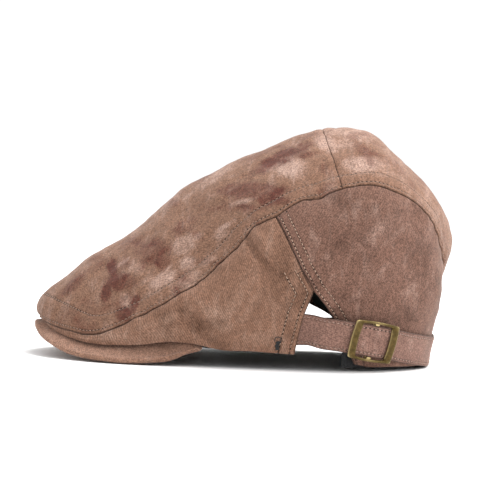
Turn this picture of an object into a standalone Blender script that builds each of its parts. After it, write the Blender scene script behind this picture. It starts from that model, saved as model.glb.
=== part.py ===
"""Flat cap with a sewn-down peak: an assembly of cloth panels, lining, sweatband, peak, strap and slide buckle.

Frame: +Z up, the peak points to -Y, the wearer's left (buckle side) is +X. Lengths below are in millimetres.
"""
import math

import bmesh
import bpy
import numpy as np
from mathutils import Matrix, Vector

MM = 0.001

# Cloth thicknesses and the gap left between neighbouring pieces
CLOTH = 1.2
LINING = 0.6
BAND = 1.0
BOARD = 1.6
COVER = 0.6
STRAP_T = 1.6
GAP = 0.3
SEAM_HALF_GAP = 0.24

# Guide curves of the crown, front tip to centre back, on the wearer's left. The stations are shared.
CENTRE_LINE = (
    (0, -131.9, 23.9), (0, -132.5, 29.5), (0, -128.4, 36.6), (0, -116.0, 47.6), (0, -95.7, 66.4),
    (0, -72.7, 81.2), (0, -34.7, 113.0), (0, 7.0, 136.1), (0, 47.8, 149.8), (0, 75.5, 149.9),
    (0, 97.0, 135.0), (0, 121.0, 112.8), (0, 134.2, 85.5), (0, 126.5, 50.6),
)
SIDE_SEAM = (
    (0, -131.9, 23.9), (16, -127.3, 21.4), (29, -120.6, 19.3), (45, -109.4, 17.8), (57, -93.5, 17.5),
    (66, -69.5, 27.0), (70.5, -27.0, 54.0), (71, 8.0, 90.2), (66, 60.5, 114.6), (63.5, 84.0, 117.0),
    (56, 102.5, 110.2), (44, 120.3, 95.6), (30, 127.8, 73.5), (0, 126.2, 50.2),
)
LOWER_EDGE = (
    (0, -131.9, 22.4), (17, -127.2, 20.0), (31, -120.3, 16.2), (47, -107.5, 12.8), (60, -91.5, 10.8),
    (68.5, -69.5, 11.6), (74, -27.0, 14.0), (78.5, 5.0, 11.4), (75.8, 58.0, 7.8), (68.5, 80.0, 3.2),
    (59, 95.0, 2.8), (44.5, 108.5, 2.4), (26, 117.4, 2.0), (0, 120.8, 1.8),
)
SIDE_BULGE = (0.0, 0.02, 0.05, 0.08, 0.10, 0.11, 0.11, 0.12, 0.115, 0.09, 0.07, 0.05, 0.03, 0.015)
SWELL_PEAK = 0.186
TOP_RISE = 1.9
TOP_SWEEP = 1.6
CROSS_SEAM = 8

# Where the panels meet the slits: parameter along the crown against girth, on each side
SLIT_GIRTH_LEFT = (1.0, 1.44, 1.596, 1.757, 2.0)
SLIT_REAR_LEFT = (0.525, 0.566, 0.5855, 0.6175, 0.665)
SLIT_FRONT_LEFT = (0.525, 0.566, 0.5855, 0.5745, 0.567)
SLIT_GIRTH_RIGHT = (1.0, 1.43, 1.745, 1.81, 2.0)
SLIT_REAR_RIGHT = (0.525, 0.562, 0.588, 0.6275, 0.672)
SLIT_FRONT_RIGHT = (0.525, 0.562, 0.588, 0.584, 0.578)
# The right side hangs a little lower at its slit
RIGHT_DROP = 6.0
RIGHT_DROP_FROM = 0.40
RIGHT_DROP_TO = 0.72
RIGHT_DROP_OVER = 0.08
TOP_TIP = 0.004
TOP_END = 0.994
SIDE_TIP = 0.0008
SIDE_END = 0.9992
PANEL_STEP = 0.0007
# Where the width of a girth step is measured beside the side seam
SEAM_BESIDE = 0.03
SEAM_PROBE = 0.02

# Lining: where its front wall meets the crown, by girth
WALL_GIRTH = (0.0, 0.3, 0.65, 1.0, 2.0)
WALL_TOP = (0.211, 0.214, 0.247, 0.278, 0.376)
LAYER_GAP = 0.8
LINING_TOP_GIRTH = 0.985
LINING_SIDE_GIRTH = (1.015, 1.97)
LINING_BACK = 0.012
LINING_REAR_START = 0.008
LINING_REAR_END = 0.005
WALL_RISE = 0.6

# Peak: outer edge of its upper face, forehead edge and depth of its arch
PEAK_EDGE = (
    (0, -133.8, 21.0), (15, -132.5, 19.0), (28, -128.8, 15.0), (45, -119.8, 10.4), (58, -108.0, 6.6),
    (67, -96.5, 4.7), (73, -85.0, 4.1), (77.5, -70.5, 4.1), (79, -56.0, 4.9), (78.7, -40.0, 7.4),
    (77.4, -27.0, 11.0),
)
PEAK_BACK_Z = 31.0
PEAK_SAG = 20.5
PEAK_INSET = 1.2
PEAK_END_Y = -24.0
PEAK_FALL = 0.45
BOARD_MARGIN = 0.012

# Sweatband
BAND_INSET = 3.6
BAND_HEIGHT = 30.0
BAND_BELOW = 3.0
BAND_SIDE_Z = 11.6
BAND_REAR_Z = 2.4

# Strap and buckle: the strap runs round a leaning arc, and the buckle slides along it
ARC_CENTRE = (14.5, 45.2, 15.5)
ARC_AXIS = (-0.135, 0.101, 1.0)
ARC_R = 71.8
ARC_LEAN = 0.26
STRAP_W = 20.0
ARC_FROM = -25.0
ARC_TO = 20.0
STRAP_UNDER = (0.553, 0.566, 0.575)
STRAP_UNDER_GIRTH = 1.735
STRAP_BACK = (0.84, 0.88, 0.92, 0.96, 0.9992)
STRAP_BACK_GIRTH = (1.772, 1.75, 1.725, 1.683, 1.618)
STRAP_RIGHT = (0.96, 0.92, 0.88, 0.84, 0.80, 0.75, 0.70, 0.66, 0.63, 0.614)
STRAP_RIGHT_GIRTH = (1.685, 1.725, 1.75, 1.77, 1.78, 1.787, 1.795, 1.808, 1.816, 1.82)
STRAP_CROSS = 0.599
STRAP_END = (0.584, 0.572, 0.56)
STRAP_END_GIRTH = 1.82
BUCKLE_AT = (77.9, 83.0)
BUCKLE_L = 32.0
BUCKLE_H = 24.3
BUCKLE_T = 1.5
BUCKLE_BAR = 5.3
BUCKLE_BOW = 0.9
BAR_W = 3.0
BAR_T = 1.3
LUG_T = 1.9
LUG_SUNK = 0.3

BUCKLE_RAIL = 1.7
BUCKLE_SIDE_STEPS = 6
ARC_SAG = 0.65
STRAP_STEPS = 64
STRAP_FALL = 0.2
BAND_FRONT_END_Y = 24.0
BAND_REAR_END_Y = 64.0
BAND_TAPER = 0.7
LINING_BACK_OFF = 0.04
WALL_REACH = 1.84
TACK_U = 0.538
TACK_SPAN = 0.006
TACK_GIRTH = 1.915
TACK_RISE = 0.06
TACK_OFF = 0.5
TACK_T = 0.6

# Colours
MOTTLED = (0.10, 0.058, 0.036)
BROWN = (0.115, 0.066, 0.040)
ROSY = (0.125, 0.062, 0.042)
DARK_LINING = (0.02, 0.022, 0.018)
BLACK = (0.012, 0.012, 0.013)
BOARD_WHITE = (0.75, 0.75, 0.72)
BRASS = (0.36, 0.22, 0.09)

# The head oval that the lower edge follows: half length, half width, centre and squareness
OVAL_A = 102.0
OVAL_B = 79.5
OVAL_Y = 19.0
OVAL_POWER = 2.3


def chord_knots():
    """Parameter of each station, 0 at the tip to 1 at the back, by mean chord length of the two upper curves."""
    centre = np.array(CENTRE_LINE, float)
    seam = np.array(SIDE_SEAM, float)
    steps = (
        np.linalg.norm(np.diff(centre, axis=0), axis=1)
        + np.linalg.norm(np.diff(seam, axis=0), axis=1)
    )
    total = np.concatenate([[0.0], np.cumsum(steps)])
    return total / total[-1]


KNOTS = chord_knots()


def spline(knots, values, t):
    """Smooth curve through the values at the knots."""
    knots = np.asarray(knots, float)
    values = np.asarray(values, float)
    if values.ndim == 1:
        values = values[:, None]
    t = np.asarray(t, float)
    gaps = np.diff(knots)
    slopes = np.diff(values, axis=0) / gaps[:, None]
    tangents = np.empty_like(values)
    tangents[0] = slopes[0]
    tangents[-1] = slopes[-1]
    tangents[1:-1] = (
        slopes[:-1] * gaps[1:, None] + slopes[1:] * gaps[:-1, None]
    ) / (gaps[1:] + gaps[:-1])[:, None]
    k = np.clip(np.searchsorted(knots, t, side="right") - 1, 0, len(gaps) - 1)
    h = gaps[k][..., None]
    s = (t[..., None] - knots[k][..., None]) / h
    return (
        values[k] * (2 * s**3 - 3 * s**2 + 1)
        + tangents[k] * h * (s**3 - 2 * s**2 + s)
        + values[k + 1] * (3 * s**2 - 2 * s**3)
        + tangents[k + 1] * h * (s**3 - s**2)
    )


def crown(u, w):
    """Outer surface: u runs front to back, w is 0 on the centre line, 1 on the side seam, 2 on the lower edge."""
    u, w = np.broadcast_arrays(np.asarray(u, float), np.asarray(w, float))
    centre = spline(KNOTS, CENTRE_LINE, u)
    seam = spline(KNOTS, SIDE_SEAM, u)
    lower = spline(KNOTS, LOWER_EDGE, u)
    puff = spline(KNOTS, SIDE_BULGE, u)
    a = np.clip(w, 0, 1)[..., None]
    top = centre + (seam - centre) * np.concatenate(
        [a, a**TOP_SWEEP, a**TOP_RISE], axis=-1
    )
    b = np.clip(w - 1, 0, 1)[..., None]
    run = lower - seam
    away = np.stack(
        [lower[..., 0] / OVAL_B**2, (lower[..., 1] - OVAL_Y) / OVAL_A**2], axis=-1
    )
    away = away / np.linalg.norm(away, axis=-1, keepdims=True)
    away = np.concatenate([away, np.zeros_like(a)], axis=-1)
    swell = b * (1 - b) ** 1.5 / SWELL_PEAK
    lift = puff * np.linalg.norm(run, axis=-1, keepdims=True) * swell
    side = seam + run * b + away * lift
    return np.where(w[..., None] <= 1, top, side)


def unit(v):
    return v / np.maximum(np.linalg.norm(v, axis=-1, keepdims=True), 1e-12)


def crown_normal(u, w):
    """Outward direction and the stretch that keeps a layer's thickness across the folded seam."""
    u, w = np.broadcast_arrays(np.asarray(u, float), np.asarray(w, float))
    du, dw = 0.004, 0.03
    along = crown(np.minimum(u + du, 1), w) - crown(np.maximum(u - du, 0), w)
    here = crown(u, w)
    ahead = unit(crown(u, np.minimum(w + dw, 2)) - here)
    behind_point = crown(u, np.abs(w - dw))
    behind_point = behind_point * np.where((w - dw)[..., None] < 0, [-1, 1, 1], 1)
    behind = unit(here - behind_point)
    ahead = np.where((w >= 2 - 1e-9)[..., None], behind, ahead)
    n_ahead = unit(np.cross(ahead, along))
    n_behind = unit(np.cross(behind, along))
    mean = unit(n_ahead + n_behind)
    stretch = 1 / np.maximum((mean * n_ahead).sum(axis=-1, keepdims=True), 0.6)
    return mean, stretch


def layer(u, w, depth):
    """Point on the crown, this far in from its outer surface. A negative w is the wearer's right."""
    w = np.asarray(w, float)
    normal, stretch = crown_normal(u, np.abs(w))
    point = crown(u, np.abs(w)) - normal * stretch * depth
    point = point * np.where(w[..., None] < 0, [-1, 1, 1], 1)
    rise = np.clip((np.asarray(u, float) - RIGHT_DROP_FROM) / RIGHT_DROP_OVER, 0, 1)
    fall = np.clip((RIGHT_DROP_TO - np.asarray(u, float)) / RIGHT_DROP_OVER, 0, 1)
    drop = RIGHT_DROP * rise**2 * (3 - 2 * rise) * fall**2 * (3 - 2 * fall)
    point[..., 2] -= drop * np.clip(-w - 1, 0, 1) ** 2
    return point


def oval(angle, inset):
    """Head oval, angle 0 at the forehead and a half turn at the back."""
    power = 2 / OVAL_POWER
    x = (OVAL_B - inset) * np.sign(np.sin(angle)) * np.abs(np.sin(angle)) ** power
    y = OVAL_Y - (OVAL_A - inset) * np.sign(np.cos(angle)) * np.abs(np.cos(angle)) ** power
    return x, y


def oval_angle(y, inset):
    """Angle on the oval at this y, on the wearer's left."""
    c = (OVAL_Y - y) / (OVAL_A - inset)
    return math.acos(math.copysign(abs(c) ** (OVAL_POWER / 2), c))


def peak_back_z(x):
    return PEAK_BACK_Z - PEAK_SAG * (np.abs(x) / OVAL_B) ** 2


def peak_face(t, v):
    """Upper face of the peak: t runs -1 to 1 across, v 0 at the forehead to 1 at the outer edge."""
    t, v = np.broadcast_arrays(np.asarray(t, float), np.asarray(v, float))
    edge = np.array(PEAK_EDGE, float)
    steps = np.linalg.norm(np.diff(edge, axis=0), axis=1)
    knots = np.concatenate([[0.0], np.cumsum(steps)]) / steps.sum()
    outer = spline(knots, edge, np.abs(t))
    x, y = oval(np.abs(t) * oval_angle(PEAK_END_Y, PEAK_INSET), PEAK_INSET)
    inner = np.stack([x, y, peak_back_z(x)], axis=-1)
    b = v[..., None]
    point = inner + (outer - inner) * np.concatenate([b, b, b * (1 + PEAK_FALL * (1 - b))], axis=-1)
    return point * np.where(t[..., None] < 0, [-1, 1, 1], 1)


def peak_layer(t, v, depth):
    """Point this far below the upper face of the peak."""
    t, v = np.broadcast_arrays(np.asarray(t, float), np.asarray(v, float))
    step = 0.01
    across = peak_face(np.minimum(t + step, 1), v) - peak_face(np.maximum(t - step, -1), v)
    outward = peak_face(t, np.minimum(v + step, 1)) - peak_face(t, np.maximum(v - step, 0.001))
    normal = unit(np.cross(outward, across))
    normal = normal * np.sign(normal[..., 2:3])
    return peak_face(t, v) - normal * depth

# ---- shapes ----


def unit_gap(u, w, du, dw, gap):
    """Share of a parameter step that covers this gap on the surface."""
    w = np.abs(w)
    a = crown(np.clip(u - du, 0, 1), np.clip(w - dw, 0, 2))
    b = crown(np.clip(u + du, 0, 1), np.clip(w + dw, 0, 2))
    return gap / np.maximum(np.linalg.norm(b - a, axis=-1), 0.05) * 2 * (du + dw)


def field(u_from, u_to, w_from, w_to, rows, columns):
    """Parameter grid between two edges given as numbers or functions of the girth."""
    w = np.linspace(w_from, w_to, columns)[None, :]
    s = np.linspace(0, 1, rows)[:, None]
    start = u_from(np.abs(w)) if callable(u_from) else u_from + 0 * w
    stop = u_to(np.abs(w)) if callable(u_to) else u_to + 0 * w
    return start + (stop - start) * s, w + 0 * s


def edge_function(girths, values, shift=0.0):
    def at(w):
        flat = np.interp(np.ravel(w), girths, values)
        return flat.reshape(np.shape(w)) + shift

    return at


def shell(name, outer, inner, colour, roughness):
    """Closed body between two matching grids of points."""
    rows, columns = outer.shape[:2]
    points = np.concatenate([outer.reshape(-1, 3), inner.reshape(-1, 3)]) * MM
    index = np.arange(rows * columns).reshape(rows, columns)
    other = index + rows * columns
    faces = []
    for i in range(rows - 1):
        for j in range(columns - 1):
            a, b, c, d = index[i, j], index[i + 1, j], index[i + 1, j + 1], index[i, j + 1]
            faces.append((a, b, c, d))
            shift = rows * columns
            faces.append((d + shift, c + shift, b + shift, a + shift))
    ring = np.concatenate([index[:, 0], index[-1, 1:], index[-2::-1, -1], index[0, -2:0:-1]])
    back = np.concatenate([other[:, 0], other[-1, 1:], other[-2::-1, -1], other[0, -2:0:-1]])
    for k in range(len(ring)):
        n = (k + 1) % len(ring)
        faces.append((ring[k], back[k], back[n], ring[n]))
    mesh = bpy.data.meshes.new(name)
    mesh.from_pydata([tuple(p) for p in points], [], [tuple(int(i) for i in f) for f in faces])
    return finish(name, mesh, colour, roughness, 0.0)


def finish(name, mesh, colour, roughness, metallic):
    """Object in the cap's collection, with faces outward, smooth shading and its own material."""
    work = bmesh.new()
    work.from_mesh(mesh)
    bmesh.ops.recalc_face_normals(work, faces=work.faces)
    if work.calc_volume(signed=True) < 0:
        bmesh.ops.reverse_faces(work, faces=work.faces)
    work.to_mesh(mesh)
    work.free()
    mesh.shade_smooth()
    material = bpy.data.materials.new(name)
    material.use_nodes = True
    shader = material.node_tree.nodes["Principled BSDF"]
    shader.inputs["Base Color"].default_value = (*colour, 1)
    shader.inputs["Roughness"].default_value = roughness
    shader.inputs["Metallic"].default_value = metallic
    mesh.materials.append(material)
    obj = bpy.data.objects.new(name, mesh)
    CAP.objects.link(obj)
    return obj


def crown_piece(name, u, w, depth, thickness, colour, roughness):
    """Cloth piece that follows the crown at this depth, kept off the centre plane where it ends there."""
    outer = layer(u, w, depth)
    inner = layer(u, w, depth + thickness)
    if (w > 0).all() or (w < 0).all():
        side = 1 if (w > 0).all() else -1
        for grid in (outer, inner):
            grid[..., 0] = side * np.maximum(side * grid[..., 0], GAP / 2)
    return shell(name, outer, inner, colour, roughness)


def inset_top(u, w, gap):
    """Narrow the outermost columns so that the seam has its gap."""
    step = unit_gap(u, w * 0 + 1 - SEAM_BESIDE, 0.0, SEAM_PROBE, gap)
    w = w * (1 - step)
    return u, w


def inset_side(u, w, gap):
    step = unit_gap(u, w * 0 + 1 + SEAM_BESIDE, 0.0, SEAM_PROBE, gap)
    size = np.abs(w)
    size = 2 - (2 - size) * (1 - step)
    return u, np.sign(w) * size


def slits(side):
    if side > 0:
        return SLIT_GIRTH_LEFT, SLIT_FRONT_LEFT, SLIT_REAR_LEFT
    return SLIT_GIRTH_RIGHT, SLIT_FRONT_RIGHT, SLIT_REAR_RIGHT


def make_top_panels():
    seam = KNOTS[CROSS_SEAM]
    u, w = field(TOP_TIP, seam - PANEL_STEP, -1, 1, 17, 15)
    u, w = inset_top(u, w, SEAM_HALF_GAP)
    crown_piece("crown_top_front", u, w, 0, CLOTH, MOTTLED, 0.9)
    u, w = field(seam + PANEL_STEP, TOP_END, -1, 1, 15, 15)
    u, w = inset_top(u, w, SEAM_HALF_GAP)
    crown_piece("crown_top_rear", u, w, 0, CLOTH, MOTTLED, 0.9)


def make_side_panels():
    for side, word in ((1, "left"), (-1, "right")):
        girths, front, rear = slits(side)
        ends = edge_function(girths, front, -PANEL_STEP)
        u, w = field(SIDE_TIP, ends, side, 2 * side, 18, 8)
        u, w = inset_side(u, w, SEAM_HALF_GAP)
        crown_piece("side_panel_front_" + word, u, w, 0, CLOTH, BROWN, 0.9)
        starts = edge_function(girths, rear, PANEL_STEP)
        u, w = field(starts, SIDE_END, side, 2 * side, 15, 9)
        u, w = inset_side(u, w, SEAM_HALF_GAP)
        crown_piece("side_panel_rear_" + word, u, w, 0, CLOTH, ROSY, 0.9)


def make_linings():
    depth = CLOTH + LAYER_GAP
    start = edge_function(WALL_GIRTH, WALL_TOP)
    u, w = field(start, TOP_END - LINING_BACK, -LINING_TOP_GIRTH, LINING_TOP_GIRTH, 22, 13)
    crown_piece("lining_crown", u, w, depth, LINING, DARK_LINING, 0.8)
    for side, word in ((1, "left"), (-1, "right")):
        girths, front, rear = slits(side)
        upper, lower = (side * girth for girth in LINING_SIDE_GIRTH)
        ends = edge_function(girths, front, -LINING_BACK_OFF)
        u, w = field(start, ends, upper, lower, 7, 7)
        crown_piece("lining_side_front_" + word, u, w, depth, LINING, DARK_LINING, 0.8)
        starts = edge_function(girths, rear, LINING_REAR_START)
        u, w = field(starts, SIDE_END - LINING_REAR_END, upper, lower, 12, 8)
        crown_piece("lining_side_rear_" + word, u, w, depth, LINING, DARK_LINING, 0.8)


def make_lining_front():
    """Wall from the forehead seam up to the crown, in front of which the nose is hollow."""
    w = np.linspace(-WALL_REACH, WALL_REACH, 25)
    start = edge_function(WALL_GIRTH, WALL_TOP, -0.005)
    top = layer(start(np.abs(w)), w, CLOTH + LAYER_GAP)
    limit = oval_angle(PEAK_END_Y, PEAK_INSET)
    angle = w / 2 * limit
    x, y = oval(angle, BAND_INSET - LAYER_GAP - LINING)
    bottom = np.stack([x, y, peak_back_z(x) + WALL_RISE], axis=-1)
    rise = np.linspace(0, 1, 6)[:, None, None]
    outer = bottom + (top - bottom) * np.concatenate([rise**1.5, rise**1.5, rise], axis=-1)
    x_in, y_in = oval(angle, BAND_INSET - LAYER_GAP)
    inward = np.stack([x_in - x, y_in - y, 0 * x], axis=-1)
    shell("lining_front", outer, outer + unit(inward) * LINING, DARK_LINING, 0.8)


def band(name, angle_from, angle_to, columns, z_low, z_high):
    """Sweatband piece round the head oval between two heights given along it."""
    angle = np.linspace(angle_from, angle_to, columns)
    rise = np.linspace(0, 1, 4)[:, None]
    low = z_low(angle)
    high = z_high(angle)
    z = low + (high - low) * rise
    outer = np.stack(np.broadcast_arrays(*oval(angle, BAND_INSET), z), axis=-1)
    inner = np.stack(np.broadcast_arrays(*oval(angle, BAND_INSET + BAND), z), axis=-1)
    shell(name, outer, inner, BLACK, 0.7)


def make_sweatbands():
    limit = oval_angle(PEAK_END_Y, PEAK_INSET)

    def front_low(angle):
        x, _ = oval(np.minimum(np.abs(angle), limit), BAND_INSET)
        return np.maximum(peak_back_z(x) - BAND_BELOW, BAND_SIDE_Z - 1)

    def front_high(angle):
        return front_low(angle) + BAND_HEIGHT

    ahead = oval_angle(BAND_FRONT_END_Y, BAND_INSET)
    band("sweatband_front", -ahead, ahead, 37, front_low, front_high)
    behind = oval_angle(BAND_REAR_END_Y, BAND_INSET)

    def rear_low(angle):
        return BAND_REAR_Z + 0 * angle

    def rear_high(angle):
        share = np.abs(np.abs(angle) - math.pi) / (math.pi - behind)
        return BAND_REAR_Z + BAND_HEIGHT * (1 - BAND_TAPER * np.clip(share, 0, 1) ** 6)

    band("sweatband_rear", behind, 2 * math.pi - behind, 33, rear_low, rear_high)


def make_peak():
    t = np.linspace(-1, 1, 33)[None, :]
    v = np.linspace(0, 1, 7)[:, None]
    depth = 0.0
    for name, thickness, margin, colour in (
        ("peak_cover_top", COVER, 0.0, BROWN),
        ("peak_board", BOARD, BOARD_MARGIN, BOARD_WHITE),
        ("peak_cover_bottom", COVER, 0.0, BROWN),
    ):
        t_in = t * (1 - 0.5 * margin)
        v_in = margin + v * (1 - 2 * margin)
        outer = peak_layer(t_in, v_in, depth)
        inner = peak_layer(t_in, v_in, depth + thickness)
        shell(name, outer, inner, colour, 0.85)
        depth += thickness + GAP


def arc_frame():
    """Centre, axis and the two directions across it, the first pointing at the buckle."""
    centre = np.array(ARC_CENTRE)
    axis = unit(np.array(ARC_AXIS))
    reach = np.array([BUCKLE_AT[0] - centre[0], BUCKLE_AT[1] - centre[1], 0.0])
    first = unit(reach - axis * (reach @ axis))
    return centre, axis, first, np.cross(axis, first)


def arc_point(angle, height):
    centre, axis, first, second = arc_frame()
    radius = ARC_R + height * ARC_LEAN
    around = first * math.cos(angle) + second * math.sin(angle)
    return centre + axis * height + around * radius


def strap_sections():
    """Upper and lower edges of the strap's middle surface, from the left hem round the back to the right."""
    half = 0.5 * STRAP_W / math.hypot(1, ARC_LEAN)
    sections = []

    def follow(u, girth, side, depth):
        upper = layer(np.array([u]), np.array([side * girth]), depth)[0]
        below = layer(np.array([u]), np.array([side * min(girth + STRAP_FALL, 2.0)]), depth)[0]
        sections.append((upper, upper + unit(below - upper) * STRAP_W))

    under = CLOTH + GAP + 0.5 * STRAP_T
    over = -(GAP + 0.5 * STRAP_T)
    for u in STRAP_UNDER:
        follow(u, STRAP_UNDER_GIRTH, 1, under)
    for degrees in np.linspace(ARC_FROM, ARC_TO, 12):
        angle = math.radians(degrees)
        sections.append((arc_point(angle, half), arc_point(angle, -half)))
    for u, girth in zip(STRAP_BACK, STRAP_BACK_GIRTH):
        follow(u, girth, 1, over)
    for u, girth in zip(STRAP_RIGHT, STRAP_RIGHT_GIRTH):
        follow(u, girth, -1, over)
    follow(STRAP_CROSS, STRAP_END_GIRTH, -1, 0.5 * (over + under))
    for u in STRAP_END:
        follow(u, STRAP_END_GIRTH, -1, under + 0.5 * GAP)
    return np.array(sections)


def make_strap():
    sections = strap_sections()
    middle = sections.mean(axis=1)
    steps = np.linalg.norm(np.diff(middle, axis=0), axis=1)
    knots = np.concatenate([[0.0], np.cumsum(steps)]) / steps.sum()
    t = np.linspace(0, 1, STRAP_STEPS)
    upper = spline(knots, sections[:, 0], t)
    lower = spline(knots, sections[:, 1], t)
    across = unit(upper - lower)
    along = unit(np.gradient(0.5 * (upper + lower), axis=0))
    normal = unit(np.cross(along, across))
    grid = np.stack([lower, 0.5 * (lower + upper), upper])
    half = 0.5 * STRAP_T * normal
    shell("adjuster_strap", grid + half, grid - half, ROSY, 0.85)


def make_buckle():
    """Slide buckle: a flat ring outside the strap, with a bar on two lugs behind it."""
    centre, axis, first, second = arc_frame()
    lean = unit(axis + first * ARC_LEAN)
    outward = np.cross(second, lean)
    ring_low = 0.5 * STRAP_T + GAP - ARC_SAG
    corners = []
    for length, height in ((BUCKLE_L, BUCKLE_H), (BUCKLE_L - 2 * BUCKLE_BAR, BUCKLE_H - 2 * BUCKLE_RAIL)):
        loop = []
        for sx, sy, ex, ey in ((-1, -1, 1, -1), (1, -1, 1, 1), (1, 1, -1, 1), (-1, 1, -1, -1)):
            for k in range(BUCKLE_SIDE_STEPS):
                s = k / BUCKLE_SIDE_STEPS
                x = 0.5 * length * (sx + (ex - sx) * s)
                y = 0.5 * height * (sy + (ey - sy) * s)
                bow = BUCKLE_BOW * (1 - (2 * s - 1) ** 2)
                bow = bow if length == BUCKLE_L else 0.0
                if sx == ex:
                    x += math.copysign(bow, sx)
                else:
                    y += math.copysign(bow, sy)
                loop.append((x, y))
        corners.append(loop)
    work = bmesh.new()
    outer = [work.verts.new((x * MM, y * MM, 0)) for x, y in corners[0]]
    inner = [work.verts.new((x * MM, y * MM, 0)) for x, y in corners[1]]
    for k in range(len(outer)):
        n = (k + 1) % len(outer)
        work.faces.new((outer[k], outer[n], inner[n], inner[k]))
    mesh = bpy.data.meshes.new("buckle")
    work.to_mesh(mesh)
    work.free()
    ring = finish("buckle", mesh, BRASS, 0.35, 1.0)
    thicken = ring.modifiers.new("thickness", "SOLIDIFY")
    thicken.thickness = BUCKLE_T * MM
    thicken.offset = 1.0
    lug_z = 0.5 * BUCKLE_H - 0.5 * LUG_T
    bottom = -0.5 * STRAP_T - GAP - BAR_T - ring_low
    depth = BUCKLE_T - LUG_SUNK - bottom
    boxes = (
        ((0, lug_z, bottom + 0.5 * depth), (BAR_W, LUG_T, depth)),
        ((0, -lug_z, bottom + 0.5 * depth), (BAR_W, LUG_T, depth)),
        ((0, 0, bottom + 0.5 * BAR_T), (BAR_W, BUCKLE_H - 0.5 * LUG_T, BAR_T)),
    )
    for k, (at, size) in enumerate(boxes):
        block = box_cutter("buckle_bar_block_%d" % k, at, size)
        block.parent = ring
        join = ring.modifiers.new("bar %d" % k, "BOOLEAN")
        join.operation = "UNION"
        join.solver = "EXACT"
        join.object = block
    bevel = ring.modifiers.new("edges", "BEVEL")
    bevel.width = 0.25 * MM
    bevel.segments = 1
    bevel.limit_method = "ANGLE"
    pivot = bpy.data.objects.new("buckle_axis", None)
    CAP.objects.link(pivot)
    pivot.location = Vector(centre * MM)
    ring.parent = pivot
    turn = Matrix((second, lean, outward)).transposed().to_4x4()
    place = first * ARC_R + outward * ring_low
    ring.matrix_local = Matrix.Translation(Vector(place * MM)) @ turn


def box_cutter(name, at, size):
    mesh = bpy.data.meshes.new(name)
    work = bmesh.new()
    bmesh.ops.create_cube(work, size=1.0)
    bmesh.ops.scale(work, vec=Vector(size) * MM, verts=work.verts)
    bmesh.ops.translate(work, vec=Vector(at) * MM, verts=work.verts)
    work.to_mesh(mesh)
    work.free()
    obj = bpy.data.objects.new(name, mesh)
    obj.hide_render = True
    obj.display_type = "WIRE"
    HELPERS.objects.link(obj)
    return obj


def make_bar_tacks():
    """Dense black thread bars that stop the front panels' hems from tearing."""
    for side, word in ((1, "left"), (-1, "right")):
        u = np.linspace(TACK_U, TACK_U + TACK_SPAN, 4)[:, None]
        w = side * np.linspace(TACK_GIRTH, TACK_GIRTH + TACK_RISE, 3)[None, :]
        outer = layer(u + 0 * w, w + 0 * u, -(TACK_OFF + TACK_T))
        inner = layer(u + 0 * w, w + 0 * u, -TACK_OFF)
        shell("bar_tack_" + word, outer, inner, BLACK, 0.7)


def main():
    make_top_panels()
    make_side_panels()
    make_linings()
    make_lining_front()
    make_sweatbands()
    make_peak()
    make_strap()
    make_buckle()
    make_bar_tacks()


for old in list(bpy.data.objects):
    bpy.data.objects.remove(old, do_unlink=True)
CAP = bpy.data.collections.new("flat_cap")
HELPERS = bpy.data.collections.new("cutters")
bpy.context.scene.collection.children.link(CAP)
bpy.context.scene.collection.children.link(HELPERS)
main()
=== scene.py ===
"""Scene of the flat cap: washed cloth, thread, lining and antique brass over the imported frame.

Everything is in the cap's own frame: +Z up, the peak points to -Y, the buckle is on the +X side.
Lengths are in millimetres until a mesh is made.
"""

import math

import bmesh
import bpy
import numpy as np
from mathutils import Matrix, Vector


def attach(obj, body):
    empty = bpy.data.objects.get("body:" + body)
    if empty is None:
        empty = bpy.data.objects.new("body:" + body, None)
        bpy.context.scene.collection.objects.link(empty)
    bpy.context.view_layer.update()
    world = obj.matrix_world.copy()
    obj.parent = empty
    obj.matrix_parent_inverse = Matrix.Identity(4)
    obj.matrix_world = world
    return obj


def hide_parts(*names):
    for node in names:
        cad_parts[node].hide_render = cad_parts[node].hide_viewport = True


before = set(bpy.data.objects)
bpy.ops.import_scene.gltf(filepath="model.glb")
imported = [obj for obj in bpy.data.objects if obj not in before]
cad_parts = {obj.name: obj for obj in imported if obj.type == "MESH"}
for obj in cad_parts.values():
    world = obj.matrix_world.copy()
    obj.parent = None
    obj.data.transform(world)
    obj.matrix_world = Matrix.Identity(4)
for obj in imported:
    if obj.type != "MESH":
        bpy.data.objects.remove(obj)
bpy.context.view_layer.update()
MM = 0.001

# ---- the cap's driving dimensions, as in the CAD ----

CLOTH = 1.2
LINING = 0.6
BAND = 1.0
BOARD = 1.6
COVER = 0.6
STRAP_T = 1.6
GAP = 0.3
SEAM_HALF_GAP = 0.12

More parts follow.
